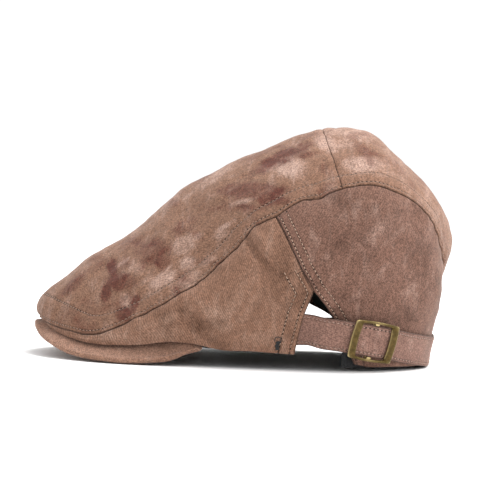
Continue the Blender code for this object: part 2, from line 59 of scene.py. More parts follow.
CENTRE_LINE = (
    (0, -131.9, 23.9), (0, -132.5, 29.5), (0, -128.4, 36.6), (0, -116.0, 47.6), (0, -95.7, 66.4),
    (0, -72.7, 81.2), (0, -34.7, 113.0), (0, 7.0, 136.1), (0, 47.8, 149.8), (0, 75.5, 149.9),
    (0, 97.0, 135.0), (0, 121.0, 112.8), (0, 134.2, 85.5), (0, 126.5, 50.6),
)
SIDE_SEAM = (
    (0, -131.9, 23.9), (16, -127.3, 21.4), (29, -120.6, 19.3), (45, -109.4, 17.8), (57, -93.5, 17.5),
    (66, -69.5, 27.0), (70.5, -27.0, 54.0), (71, 8.0, 90.2), (66, 60.5, 114.6), (63.5, 84.0, 117.0),
    (56, 102.5, 110.2), (44, 120.3, 95.6), (30, 127.8, 73.5), (0, 126.2, 50.2),
)
LOWER_EDGE = (
    (0, -131.9, 22.4), (17, -127.2, 20.0), (31, -120.3, 16.2), (47, -107.5, 12.8), (60, -91.5, 10.8),
    (68.5, -69.5, 11.6), (74, -27.0, 14.0), (78.5, 5.0, 11.4), (75.8, 58.0, 7.8), (68.5, 80.0, 3.2),
    (59, 95.0, 2.8), (44.5, 108.5, 2.4), (26, 117.4, 2.0), (0, 120.8, 1.8),
)
SIDE_BULGE = (0.0, 0.02, 0.05, 0.08, 0.10, 0.11, 0.11, 0.12, 0.115, 0.09, 0.07, 0.05, 0.03, 0.015)
SWELL_PEAK = 0.186
TOP_RISE = 1.9
TOP_SWEEP = 1.6
CROSS_SEAM = 8
SLIT_GIRTH_LEFT = (1.0, 1.44, 1.596, 1.757, 2.0)
SLIT_REAR_LEFT = (0.525, 0.566, 0.5855, 0.6175, 0.665)
SLIT_FRONT_LEFT = (0.525, 0.566, 0.5855, 0.5745, 0.567)
SLIT_GIRTH_RIGHT = (1.0, 1.43, 1.745, 1.81, 2.0)
SLIT_REAR_RIGHT = (0.525, 0.562, 0.588, 0.6275, 0.672)
SLIT_FRONT_RIGHT = (0.525, 0.562, 0.588, 0.584, 0.578)
RIGHT_DROP = 6.0
RIGHT_DROP_FROM = 0.40
RIGHT_DROP_TO = 0.72
RIGHT_DROP_OVER = 0.08
TOP_TIP = 0.004
TOP_END = 0.994
SIDE_TIP = 0.0008
SIDE_END = 0.9992
PANEL_STEP = 0.0005

WALL_GIRTH = (0.0, 0.3, 0.65, 1.0, 2.0)
WALL_TOP = (0.211, 0.214, 0.247, 0.278, 0.376)
LAYER_GAP = 0.8
WALL_RISE = 0.6
WALL_REACH = 1.84
LINING_TOP_GIRTH = 0.985
LINING_SIDE_GIRTH = (1.015, 1.97)
LINING_BACK = 0.012
LINING_BACK_OFF = 0.04
LINING_REAR_START = 0.008
LINING_REAR_END = 0.005

PEAK_EDGE = (
    (0, -133.8, 21.0), (15, -132.5, 19.0), (28, -128.8, 15.0), (45, -119.8, 10.4), (58, -108.0, 6.6),
    (67, -96.5, 4.7), (73, -85.0, 4.1), (77.5, -70.5, 4.1), (79, -56.0, 4.9), (78.7, -40.0, 7.4),
    (77.4, -27.0, 11.0),
)
PEAK_BACK_Z = 31.0
PEAK_SAG = 20.5
PEAK_INSET = 1.2
PEAK_END_Y = -24.0
PEAK_FALL = 0.45

BAND_INSET = 3.6
BAND_HEIGHT = 30.0
BAND_BELOW = 3.0
BAND_SIDE_Z = 11.6
BAND_REAR_Z = 2.4
BAND_FRONT_END_Y = 24.0
BAND_REAR_END_Y = 64.0
BAND_TAPER = 0.7

ARC_CENTRE = (14.5, 45.2, 15.5)
ARC_AXIS = (-0.135, 0.101, 1.0)
ARC_R = 71.8
ARC_LEAN = 0.26
ARC_SAG = 0.65
STRAP_W = 20.0
STRAP_FALL = 0.2
ARC_FROM = -25.0
ARC_TO = 20.0
STRAP_UNDER = (0.553, 0.566, 0.575)
STRAP_UNDER_GIRTH = 1.735
STRAP_BACK = (0.84, 0.88, 0.92, 0.96, 0.9992)
STRAP_BACK_GIRTH = (1.772, 1.75, 1.725, 1.683, 1.618)
STRAP_RIGHT = (0.96, 0.92, 0.88, 0.84, 0.80, 0.75, 0.70, 0.66, 0.63, 0.614)
STRAP_RIGHT_GIRTH = (1.685, 1.725, 1.75, 1.77, 1.78, 1.787, 1.795, 1.808, 1.816, 1.82)
STRAP_CROSS = 0.599
STRAP_END = (0.584, 0.572, 0.56)
STRAP_END_GIRTH = 1.82
BUCKLE_AT = (77.9, 83.0)
BUCKLE_L = 32.0
BUCKLE_H = 24.3
BUCKLE_T = 1.5
BUCKLE_BAR = 5.3
BUCKLE_RAIL = 1.55
BUCKLE_CORNER = 0.8
BUCKLE_BOW = 0.9
BAR_W = 3.0
BAR_T = 1.3
LUG_T = 1.9

TACK_U = 0.538
TACK_SPAN = 0.006
TACK_GIRTH = 1.915
TACK_RISE = 0.06
TACK_OFF = 0.5

OVAL_A = 102.0
OVAL_B = 79.5
OVAL_Y = 19.0
OVAL_POWER = 2.3

# ---- sewing: distances from the edge, in millimetres ----

TOP_ROWS = (2.4, 11.0)
REAR_ROWS = (2.0, 6.8)
HEM_ROWS = (3.3, 10.2)
HEM_ROWS_FROM = 1.42
REAR_RELIEF_FROM = 0.9
REAR_ROWS_FROM = 1.03
ROWS_TO = 1.97
STRAP_ROWS = (2.0,)
STITCH_PITCH = 2.7
STRAP_PITCH = 2.9
BAND_PITCH = 3.0
BAND_ROW = 2.0
# The upper row of the top stands further from the seam round the nose: how much, and its y and reach
NOSE_WIDENING = 0.3
NOSE_ROW = (-116.0, 24.0)
STITCH_LENGTH = 2.0
STITCH_R = 0.24
# Distance that the edge map holds where no edge is sewn
UNSEWN = 60.0


# ---- guide surfaces, as in the CAD ----


def chord_knots():
    """Parameter of each station, 0 at the tip to 1 at the back, by the two upper curves' chord lengths."""
    centre = np.array(CENTRE_LINE, float)
    seam = np.array(SIDE_SEAM, float)
    steps = (
        np.linalg.norm(np.diff(centre, axis=0), axis=1)
        + np.linalg.norm(np.diff(seam, axis=0), axis=1)
    )
    total = np.concatenate([[0.0], np.cumsum(steps)])
    return total / total[-1]


KNOTS = chord_knots()


def spline(knots, values, t):
    """Smooth curve through the values at the knots."""
    knots = np.asarray(knots, float)
    values = np.asarray(values, float)
    if values.ndim == 1:
        values = values[:, None]
    t = np.asarray(t, float)
    gaps = np.diff(knots)
    slopes = np.diff(values, axis=0) / gaps[:, None]
    tangents = np.empty_like(values)
    tangents[0] = slopes[0]
    tangents[-1] = slopes[-1]
    tangents[1:-1] = (
        slopes[:-1] * gaps[1:, None] + slopes[1:] * gaps[:-1, None]
    ) / (gaps[1:] + gaps[:-1])[:, None]
    k = np.clip(np.searchsorted(knots, t, side="right") - 1, 0, len(gaps) - 1)
    h = gaps[k][..., None]
    s = (t[..., None] - knots[k][..., None]) / h
    return (
        values[k] * (2 * s**3 - 3 * s**2 + 1)
        + tangents[k] * h * (s**3 - 2 * s**2 + s)
        + values[k + 1] * (3 * s**2 - 2 * s**3)
        + tangents[k + 1] * h * (s**3 - s**2)
    )


def unit(v):
    return v / np.maximum(np.linalg.norm(v, axis=-1, keepdims=True), 1e-12)


def crown(u, w):
    """Outer surface: u runs front to back, w from the centre line, over the side seam, to the lower edge."""
    u, w = np.broadcast_arrays(np.asarray(u, float), np.asarray(w, float))
    centre = spline(KNOTS, CENTRE_LINE, u)
    seam = spline(KNOTS, SIDE_SEAM, u)
    lower = spline(KNOTS, LOWER_EDGE, u)
    puff = spline(KNOTS, SIDE_BULGE, u)
    a = np.clip(w, 0, 1)[..., None]
    top = centre + (seam - centre) * np.concatenate(
        [a, a**TOP_SWEEP, a**TOP_RISE], axis=-1
    )
    b = np.clip(w - 1, 0, 1)[..., None]
    run = lower - seam
    away = np.stack(
        [lower[..., 0] / OVAL_B**2, (lower[..., 1] - OVAL_Y) / OVAL_A**2], axis=-1
    )
    away = away / np.linalg.norm(away, axis=-1, keepdims=True)
    away = np.concatenate([away, np.zeros_like(a)], axis=-1)
    swell = b * (1 - b) ** 1.5 / SWELL_PEAK
    lift = puff * np.linalg.norm(run, axis=-1, keepdims=True) * swell
    side = seam + run * b + away * lift
    return np.where(w[..., None] <= 1, top, side)


def crown_normal(u, w):
    """Outward direction and the stretch that keeps a layer's thickness across the folded seam."""
    u, w = np.broadcast_arrays(np.asarray(u, float), np.asarray(w, float))
    du, dw = 0.004, 0.03
    along = crown(np.minimum(u + du, 1), w) - crown(np.maximum(u - du, 0), w)
    here = crown(u, w)
    ahead = unit(crown(u, np.minimum(w + dw, 2)) - here)
    behind_point = crown(u, np.abs(w - dw))
    behind_point = behind_point * np.where((w - dw)[..., None] < 0, [-1, 1, 1], 1)
    behind = unit(here - behind_point)
    ahead = np.where((w >= 2 - 1e-9)[..., None], behind, ahead)
    n_ahead = unit(np.cross(ahead, along))
    n_behind = unit(np.cross(behind, along))
    mean = unit(n_ahead + n_behind)
    stretch = 1 / np.maximum((mean * n_ahead).sum(axis=-1, keepdims=True), 0.6)
    return mean, stretch


def mirrored(w):
    return np.where(np.asarray(w)[..., None] < 0, [-1, 1, 1], 1)


def facing(u, w):
    """Outward direction at a signed w."""
    return crown_normal(u, np.abs(w))[0] * mirrored(w)


def layer(u, w, depth):
    """Point on the crown, this far in from its outer surface. A negative w is the wearer's right."""
    w = np.asarray(w, float)
    depth = np.asarray(depth, float)
    depth = depth[..., None] if depth.ndim else depth
    normal, stretch = crown_normal(u, np.abs(w))
    point = crown(u, np.abs(w)) - normal * stretch * depth
    point = point * mirrored(w)
    rise = np.clip((np.asarray(u, float) - RIGHT_DROP_FROM) / RIGHT_DROP_OVER, 0, 1)
    fall = np.clip((RIGHT_DROP_TO - np.asarray(u, float)) / RIGHT_DROP_OVER, 0, 1)
    drop = RIGHT_DROP * rise**2 * (3 - 2 * rise) * fall**2 * (3 - 2 * fall)
    point[..., 2] -= drop * np.clip(-w - 1, 0, 1) ** 2
    return point


def signed_power(value, power):
    return np.sign(value) * np.abs(value) ** power


def oval(angle, inset):
    """Head oval, angle 0 at the forehead and a half turn at the back."""
    x = (OVAL_B - inset) * signed_power(np.sin(angle), 2 / OVAL_POWER)
    y = OVAL_Y - (OVAL_A - inset) * signed_power(np.cos(angle), 2 / OVAL_POWER)
    return x, y


def oval_angle(y, inset):
    """Angle on the oval at this y, on the wearer's left."""
    c = (OVAL_Y - y) / (OVAL_A - inset)
    return math.acos(math.copysign(abs(c) ** (OVAL_POWER / 2), c))


def peak_back_z(x):
    return PEAK_BACK_Z - PEAK_SAG * (np.abs(x) / OVAL_B) ** 2


def peak_face(t, v):
    """Upper face of the peak: t runs -1 to 1 across, v 0 at the forehead to 1 at the outer edge."""
    t, v = np.broadcast_arrays(np.asarray(t, float), np.asarray(v, float))
    edge = np.array(PEAK_EDGE, float)
    steps = np.linalg.norm(np.diff(edge, axis=0), axis=1)
    knots = np.concatenate([[0.0], np.cumsum(steps)]) / steps.sum()
    outer = spline(knots, edge, np.abs(t))
    x, y = oval(np.abs(t) * oval_angle(PEAK_END_Y, PEAK_INSET), PEAK_INSET)
    inner = np.stack([x, y, peak_back_z(x)], axis=-1)
    b = v[..., None]
    point = inner + (outer - inner) * np.concatenate([b, b, b * (1 + PEAK_FALL * (1 - b))], axis=-1)
    return point * mirrored(t)


def peak_normal(t, v):
    t, v = np.broadcast_arrays(np.asarray(t, float), np.asarray(v, float))
    step = 0.01
    across = peak_face(np.minimum(t + step, 1), v) - peak_face(np.maximum(t - step, -1), v)
    outward = peak_face(t, np.minimum(v + step, 1)) - peak_face(t, np.maximum(v - step, 0.001))
    normal = unit(np.cross(outward, across))
    return normal * np.sign(normal[..., 2:3]), unit(outward)


def slits(side):
    if side > 0:
        return SLIT_GIRTH_LEFT, SLIT_FRONT_LEFT, SLIT_REAR_LEFT
    return SLIT_GIRTH_RIGHT, SLIT_FRONT_RIGHT, SLIT_REAR_RIGHT


def edge_function(girths, values, shift=0.0):
    def at(w):
        flat = np.interp(np.ravel(w), girths, values)
        return flat.reshape(np.shape(w)) + shift

    return at


# ---- small numeric helpers ----


def ramp(value, start, stop):
    """Smooth step from 0 at start to 1 at stop."""
    s = np.clip((np.asarray(value, float) - start) / (stop - start), 0, 1)
    return s * s * (3 - 2 * s)


def bell(value, centre, width):
    return np.exp(-(((np.asarray(value, float) - centre) / width) ** 2))


def waves(points, size, seed, count=14):
    """Smooth random field of about unit height that varies over this size in millimetres."""
    rng = np.random.default_rng(seed)
    points = np.atleast_1d(np.asarray(points, float))
    if points.ndim == 1:
        points = points[:, None]
    total = np.zeros(points.shape[:-1])
    for _ in range(count):
        direction = rng.normal(size=points.shape[-1])
        direction /= np.linalg.norm(direction)
        wavelength = size * rng.uniform(0.7, 1.8)
        phase = rng.uniform(0, 2 * math.pi)
        total += np.sin(2 * math.pi * (points @ direction) / wavelength + phase)
    return total / math.sqrt(count / 2)


def edge_spaced(count, fine):
    """0 to 1 with narrower steps at both ends, the first of them this share."""
    inner = np.linspace(0, 1, count)
    close = fine * np.array([0, 0.35, 1.0, 2.0, 3.4])
    middle = inner[(inner > close[-1] * 1.3) & (inner < 1 - close[-1] * 1.3)]
    return np.concatenate([close, middle, 1 - close[::-1]])


def to_line(points, line):
    """Distance of each point to a polyline, and how far along it the nearest place is."""
    flat = points.reshape(-1, 3)
    steps = np.linalg.norm(np.diff(line, axis=0), axis=1)
    length = np.concatenate([[0.0], np.cumsum(steps)])
    distance = np.empty(len(flat))
    run = np.empty(len(flat))
    for start in range(0, len(flat), 4000):
        part = flat[start:start + 4000]
        squares = ((part[:, None, :] - line[None]) ** 2).sum(-1)
        k = np.clip(squares.argmin(1), 1, len(line) - 2)
        best = np.full(len(part), 1e9)
        along = np.zeros(len(part))
        for a in (k - 1, k):
            leg = line[a + 1] - line[a]
            share = ((part - line[a]) * leg).sum(-1) / np.maximum((leg**2).sum(-1), 1e-12)
            share = np.clip(share, 0, 1)
            gap = np.linalg.norm(part - line[a] - leg * share[:, None], axis=1)
            nearer = gap < best
            best = np.where(nearer, gap, best)
            along = np.where(nearer, length[a] + share * steps[a], along)
        distance[start:start + 4000] = best
        run[start:start + 4000] = along
    shape = points.shape[:-1]
    return distance.reshape(shape), run.reshape(shape)


def arc_lengths(line):
    steps = np.linalg.norm(np.diff(line, axis=0), axis=1)
    return np.concatenate([[0.0], np.cumsum(steps)])


# ---- meshes ----


def new_mesh(name, points, faces, uv_cloth=None, uv_edge=None, dye_and_painted_shading=None, sharp=50):
    """Object from points in millimetres, with its two cloth maps and its dye attribute, if it has them; on
    the side panels that attribute also holds painted shade and light.
    """
    mesh = bpy.data.meshes.new(name)
    mesh.from_pydata((np.asarray(points) * MM).tolist(), [], [list(map(int, f)) for f in faces])
    for layer_name, values in (("cloth", uv_cloth), ("edge", uv_edge)):
        if values is not None:
            table = np.asarray(values, np.float32).reshape(-1, 2)
            index = np.empty(len(mesh.loops), np.int32)
            mesh.loops.foreach_get("vertex_index", index)
            mesh.uv_layers.new(name=layer_name).data.foreach_set("uv", table[index].ravel())
    if dye_and_painted_shading is not None:
        store = mesh.attributes.new("dye_and_painted_shading", "FLOAT_VECTOR", "POINT")
        store.data.foreach_set("vector", np.asarray(dye_and_painted_shading, np.float32).ravel())
    work = bmesh.new()
    work.from_mesh(mesh)
    bmesh.ops.recalc_face_normals(work, faces=work.faces)
    work.to_mesh(mesh)
    work.free()
    mesh.shade_smooth()
    mesh.set_sharp_from_angle(angle=math.radians(sharp))
    obj = bpy.data.objects.new(name, mesh)
    bpy.context.scene.collection.objects.link(obj)
    return obj


def sheet_faces(rows, columns, offset=0, turned=False):
    index = np.arange(rows * columns).reshape(rows, columns) + offset
    faces = np.stack([index[:-1, :-1], index[1:, :-1], index[1:, 1:], index[:-1, 1:]], -1)
    faces = faces.reshape(-1, 4)
    return faces[:, ::-1] if turned else faces


def shell(name, outer, inner, uv_cloth, uv_edge, dye_and_painted_shading=None):
    """Closed cloth body between two matching grids of points."""
    rows, columns = outer.shape[:2]
    size = rows * columns
    index = np.arange(size).reshape(rows, columns)
    ring = np.concatenate([index[:, 0], index[-1, 1:], index[-2::-1, -1], index[0, -2:0:-1]])
    after = np.roll(ring, -1)
    rim = np.stack([ring, ring + size, after + size, after], -1)
    faces = np.concatenate([sheet_faces(rows, columns), sheet_faces(rows, columns, size, True), rim])
    points = np.concatenate([outer.reshape(-1, 3), inner.reshape(-1, 3)])
    twice = [np.concatenate([v.reshape(size, -1)] * 2) for v in (uv_cloth, uv_edge)]
    if dye_and_painted_shading is not None:
        dye_and_painted_shading = np.concatenate([dye_and_painted_shading.reshape(size, 3)] * 2)
    return new_mesh(name, points, faces, *twice, dye_and_painted_shading)


def place(obj, body, nodes, material):
    """Give a finished piece its body, the CAD nodes that it stands for and its material."""
    obj.data.materials.append(material)
    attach(obj, body)
    if nodes:
        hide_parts(*nodes)
    return obj


def tube(points, radius, sides=6):
    """Rings and faces of a round thread along a polyline, with closed ends."""
    points = np.asarray(points, float)
    count = len(points)
    along = unit(np.gradient(points, axis=0))
    up = np.array([0.31, 0.17, 0.93])
    first = unit(np.cross(along, up))
    second = np.cross(along, first)
    turn = np.arange(sides) * 2 * math.pi / sides
    radius = np.broadcast_to(radius, (count,))[:, None, None]
    cosine = np.cos(turn)[None, :, None]
    sine = np.sin(turn)[None, :, None]
    circle = first[:, None] * cosine + second[:, None] * sine
    ring = (points[:, None] + circle * radius).reshape(-1, 3)
    faces = []
    for i in range(count - 1):
        for k in range(sides):
            n = (k + 1) % sides
            faces.append((i * sides + k, i * sides + n, (i + 1) * sides + n, (i + 1) * sides + k))
    faces.append(tuple(range(sides)))
    faces.append(tuple(range((count - 1) * sides, count * sides)))
    return ring, faces


def merge(parts):
    points = []
    faces = []
    offset = 0
    for ring, loop in parts:
        points.append(ring)
        faces.extend([tuple(i + offset for i in f) for f in loop])
        offset += len(ring)
    return np.concatenate(points), faces


def stitch_row(line, normal, pitch=STITCH_PITCH):
    """Thread stitches along a polyline on the cloth: each dives into its needle holes."""
    length = arc_lengths(line)
    parts = []
    at = np.arange(0.5 * (pitch - STITCH_LENGTH), length[-1] - STITCH_LENGTH, pitch)
    bow = np.array([-0.3, 0.1, 0.2, 0.1, -0.3])
    size = np.array([0.55, 0.95, 1.0, 0.95, 0.55])
    for k, start in enumerate(at):
        wobble = 0.12 * math.sin(k * 2.399)
        span = start + np.linspace(0, 1, 5) * STITCH_LENGTH * (1 + 0.4 * wobble)
        spot = np.stack([np.interp(span, length, c) for c in line.T], -1)
        out = unit(np.stack([np.interp(span, length, c) for c in normal.T], -1))
        aside = unit(np.cross(out, np.gradient(spot, axis=0)))
        spot = spot + out * bow[:, None] + aside * (wobble * np.linspace(-1, 1, 5))[:, None]
        parts.append(tube(spot, STITCH_R * size))
    return parts


def sew(name, threads, material):
    """All stitches of one kind as one piece."""
    place(new_mesh(name, *merge(threads)), "cap", (), material)


# ---- cloth relief ----

# Height of the doubled cloth beside a stitched edge
TOP_PAD = 0.5
HEM_PAD = 0.35
# Height of the waves that the stitches draw up: along the top's edge, its cross seam, the hem, the side seam
TOP_PUCKER = 0.26
CROSS_PUCKER = 0.25
HEM_PUCKER = 0.22
SIDE_PUCKER = 0.2
SEAM_SEED = 5
CROSS_SEED = 17
HEM_SEED = 9
# Depth of the groove that a row of stitches pulls in
TOP_GROOVE = 0.35
HEM_GROOVE = 0.3
STRAP_GROOVE = 0.22
# Turned edges: over how much of the cloth they fall away, and how far
TOP_ROLL = (1.8, 1.05)
CROSS_ROLL = (1.5, 0.9)
HEM_ROLL = (1.1, 0.6)
RIM_ROLL = (0.9, 0.5)
SIDE_ROLL = (1.0, 0.9)
STRAP_ROLL = (0.9, 0.62)
# Half width of the cloth that moves with the wandering side seam
SEAM_DRAW_REACH = 9
# Unevenness of cloth that hangs free: height, size and seed
SLACK_WAVES = ((0.75, 62, 3), (0.36, 27, 8), (0.14, 11, 21))
# Soft folds of the side panels: ends (y, z), half width and depth. Positive depths are valleys.
FOLDS_LEFT = (
    ((-1, 84), (17, 62), 3.0, 2.6), ((-39, 36), (-12, 12), 5.5, 3.4), ((8, 58), (-23, 19), 8.0, -1.8),
    ((21, 70), (4, 36), 6.0, 1.5), ((44, 62), (40, 30), 4.0, 1.4), ((97, 107), (74, 78), 6.0, -1.5),
    ((116, 91), (92, 58), 6.0, -1.5), ((78, 100), (52, 74), 5.0, 1.5), ((108, 76), (86, 44), 5.0, 1.4),
    ((48, 52), (84, 42), 5.0, 1.5),
)
FOLDS_RIGHT = (
    ((-2, 78), (14, 54), 3.0, 1.7), ((-34, 42), (-50, 18), 7.0, 1.8), ((-10, 56), (-24, 22), 7.0, -1.1),
    ((72, 100), (44, 66), 8.0, -1.0), ((106, 92), (84, 54), 7.0, 1.0), ((50, 46), (88, 44), 5.0, 0.8),
)
# Where the side seam is drawn up or down, by y along the cap: place, reach and height
SEAM_DRAWS = (
    (46.0, 4.5, -1.6), (36.0, 5.0, 1.4), (20.0, 4.5, -1.6), (5.0, 4.5, 1.6), (-5.0, 4.0, -1.5),
    (-17.0, 5.0, 0.9), (-34.0, 6.0, -0.6), (92.0, 7.0, -0.7),
)
# The front panels' lower edge lifts off the peak and hangs lower behind it: y, reach and height
HEM_DRAWS = (
    (-46.0, 13.0, 1.6),
    (-13.0, 12.0, -2.0),
)


def fold_relief(points, folds):
    """Depth of the folds at each point, seen from the side."""
    relief = np.zeros(points.shape[:-1])
    spot = points[..., 1:]
    for start, stop, width, depth in folds:
        start = np.array(start)
        leg = np.array(stop) - start
        length = np.linalg.norm(leg)
        share = ((spot - start) @ leg) / length**2
        offset = (spot - start) @ np.array([-leg[1], leg[0]]) / length
        bend = 0.14 * length * (share - 0.5) ** 2
        fade = ramp(share, -0.35, 0.25) * ramp(share, 1.35, 0.75)
        ridge = 0.45 * bell(offset, bend + 2 * width, width)
        relief -= depth * fade * (bell(offset, bend, width) - ridge)
    return relief


def slack(points, w):
    """Soft unevenness of cloth that hangs free, none where it is held by the strap or the peak."""
    held = 1 - ramp(np.abs(w), 1.42, 1.68)
    return sum(height * waves(points, size, seed) for height, size, seed in SLACK_WAVES) * held


def drawn(points, u, w):
    """Shift along the surface where the side seam wanders."""
    step = 0.02
    near = np.clip(np.abs(w), step, 2 - step)
    down = unit(crown(u, near + step) - crown(u, near - step)) * mirrored(w)
    shift = np.zeros(points.shape[:-1])
    seam_y = spline(KNOTS, SIDE_SEAM, u)[..., 1]
    for place_y, reach, height in SEAM_DRAWS:
        shift -= height * bell(seam_y, place_y, reach)
    distance = np.linalg.norm(points - layer(u, np.sign(w + 1e-9), 0), axis=-1)
    return down * (shift * np.exp(-distance / SEAM_DRAW_REACH))[..., None]


def roll(distance, radius, depth):
    """Turned edge: falls away over its last radius."""
    x = np.clip(1 - distance / radius, 0, 1)
    return -depth * (1 - np.sqrt(np.maximum(1 - x**2, 0)))


def pucker(run, distance, reach, seed):
    """Little waves that a row of stitches draws up beside a seam."""
    beat = waves(run.ravel(), 10.0, seed, 16).reshape(run.shape)
    return beat * np.exp(-distance / reach)


def rows_relief(distance, rows, depth):
    total = np.zeros_like(distance)
    for row in rows:
        total -= depth * bell(distance, row, 0.8)
    return total


def seam_line(side, count=700):
    u = np.linspace(0.0, 1.0, count)
    return layer(u, side * np.ones(count), 0)


def grid(u_from, u_to, w_from, w_to, rows, columns, fine_u=0.004, fine_w=0.006):
    """Parameter grid between two edges, closer near all four of them."""
    w = (w_from + (w_to - w_from) * edge_spaced(columns, fine_w))[None, :]
    s = edge_spaced(rows, fine_u)[:, None]
    start = u_from(np.abs(w)) if callable(u_from) else u_from + 0 * w
    stop = u_to(np.abs(w)) if callable(u_to) else u_to + 0 * w
    return start + (stop - start) * s, w + 0 * s


def keep_side(points, side):
    """Pieces that end on the centre plane stay on their own side of it."""
    points[..., 0] = side * np.maximum(side * points[..., 0], 0.5 * GAP)
    return points


def cloth_uv(points):
    """Flat map of a side panel: round the head oval, and up."""
    angle = np.linspace(0, 2 * math.pi, 721)
    x, y = oval(angle, 0)
    length = arc_lengths(np.stack([x, y, 0 * x], -1))
    bearing = np.unwrap(np.arctan2(x, OVAL_Y - y))
    here = np.arctan2(points[..., 0], OVAL_Y - points[..., 1]) % (2 * math.pi)
    return np.stack([np.interp(here, bearing, length), points[..., 2]], -1)


# ---- top panels ----

# Dye blots of the top, seen from the wearer's left: centre (y, z), half sizes, turn in degrees and strength
DARK_BLOTS = (
    ((-78, 50), (10, 5), 8, 1.0), ((-84, 58), (3.5, 6), 8, 0.9), ((-87, 43), (3.5, 7), -12, 0.9),
    ((-75, 31), (5.5, 4.5), 0, 1.0), ((-68, 37), (2.5, 7), -14, 0.9), ((-109, 46), (12, 3.5), 45, 0.75),
    ((-52, 64), (6, 5.5), 0, 0.85), ((-42, 48), (3.5, 5), 20, 0.55), ((-106, 28), (5, 5), 0, 0.4),
    ((-57, 70), (12, 8), 20, 0.8), ((-62, 66), (4, 9), -30, 0.6), ((-74, 74), (10, 5), 20, 0.55),
    ((4, 111), (21, 5), 2, 1.0), ((15, 106), (13, 4), 0, 0.75), ((-2, 101), (10, 3), 10, 0.6),
    ((22, 132), (22, 4), 28, 0.95), ((38, 135), (7, 2.5), 10, 0.75), ((-29, 117), (11, 3.5), 35, 0.45),
    ((-38, 54), (6, 8), -20, 0.45), ((-38, 87), (11, 4), 38, 0.5), ((-19, 99), (8, 3), 20, 0.45),
    ((76, 138), (11, 3), -12, 0.4), ((50, 127), (9, 6), -40, 0.35), ((-13, 101), (5, 6), 0, 0.4),
    ((99, 127), (9, 5), -40, 0.35),
)
PALE_BLOTS = (
    ((-74, 38), (4.5, 5.5), 0, 0.8), ((-68, 60), (7, 6), 20, 0.5), ((-51, 53), (10, 4), 33, 0.95),
    ((-77, 62), (6, 1.2), 38, 0.9), ((-48, 60), (4, 1.3), 50, 0.8), ((-95, 47), (6, 7), 0, 0.35),
    ((-36, 64), (6, 5), 30, 0.8), ((-87, 43), (5, 1.2), 50, 0.5), ((-39, 75), (9, 6), 35, 0.9),
    ((-31, 80), (6, 2), 35, 0.8), ((-34, 54), (11, 5), 35, 0.7), ((-15, 83), (6, 5), 30, 0.6),
    ((-2, 104), (11, 2), 22, 0.7), ((-13, 88), (8, 2), 35, 0.75), ((27, 127), (10, 7), 0, 1.0),
    ((14, 126), (6, 3), 20, 0.6), ((50, 143), (9, 5), -10, 0.95), ((54, 138), (4.5, 2), 0, 0.8),
    ((74, 130), (14, 5), 0, 0.95), ((86, 125), (9, 3), 0, 0.5), ((-20, 119), (17, 3.5), 32, 0.6),
    ((-49, 100), (11, 3), 48, 0.55), ((5, 88), (8, 2), 20, 0.5), ((116, 113), (3, 8), -10, 0.5),
    ((61, 142), (10, 5), 0, 0.6), ((-92, 68), (10, 2.5), 40, 0.4), ((99, 133), (8, 3), -40, 0.4),
    ((110, 107), (3, 4), 0, 0.5), ((2, 137), (24, 4), 27, 0.7), ((-40, 113), (20, 3), 33, 0.5),
    ((-80, 78), (18, 3), 30, 0.45), ((66, 150), (26, 6), 0, 0.7), ((-23, 66), (8, 2), 40, 0.6),
    ((-62, 52), (7, 2), 40, 0.5), ((-56, 46), (9, 3), 33, 0.5), ((-20, 108), (9, 2), 35, 0.4),
)
BLOT_SEED = 41
BLOTS_ELSEWHERE = 34


def blots_at(spot, blots):
    total = np.zeros(spot.shape[:-1])
    for centre, size, degrees, strength in blots:
        turn = math.radians(degrees)
        offset = spot - np.array(centre)
        along = (offset[..., 0] * math.cos(turn) + offset[..., 1] * math.sin(turn)) / size[0]
        across = (offset[..., 1] * math.cos(turn) - offset[..., 0] * math.sin(turn)) / size[1]
        total = np.maximum(total, strength * np.exp(-0.8 * (along**2 + across**2) ** 1.2))
    return total


def top_dye(points, w):
    """Dark and pale dye of the top: placed blots on the left, scattered ones past the centre line."""
    left = ramp(w, -0.1, 0.02)
    spot = points[..., 1:]
    dark = blots_at(spot, DARK_BLOTS) * left
    pale = blots_at(spot, PALE_BLOTS) * left
    rng = np.random.default_rng(BLOT_SEED)
    around = np.stack([points[..., 0] * 1.25, points[..., 1]], -1)
    scattered = []
    for _ in range(BLOTS_ELSEWHERE):
        centre = (rng.uniform(-95, 0), rng.uniform(-125, 125))
        size = (rng.uniform(4, 12), rng.uniform(3, 7))
        scattered.append((centre, size, rng.uniform(-60, 60), rng.uniform(0.5, 1.0)))
    half = BLOTS_ELSEWHERE // 2
    dark = np.maximum(dark, blots_at(around, scattered[:half]) * (1 - left))
    pale = np.maximum(pale, blots_at(around, scattered[half:]) * (1 - left))
    return np.stack([dark, pale, 0 * dark], -1)


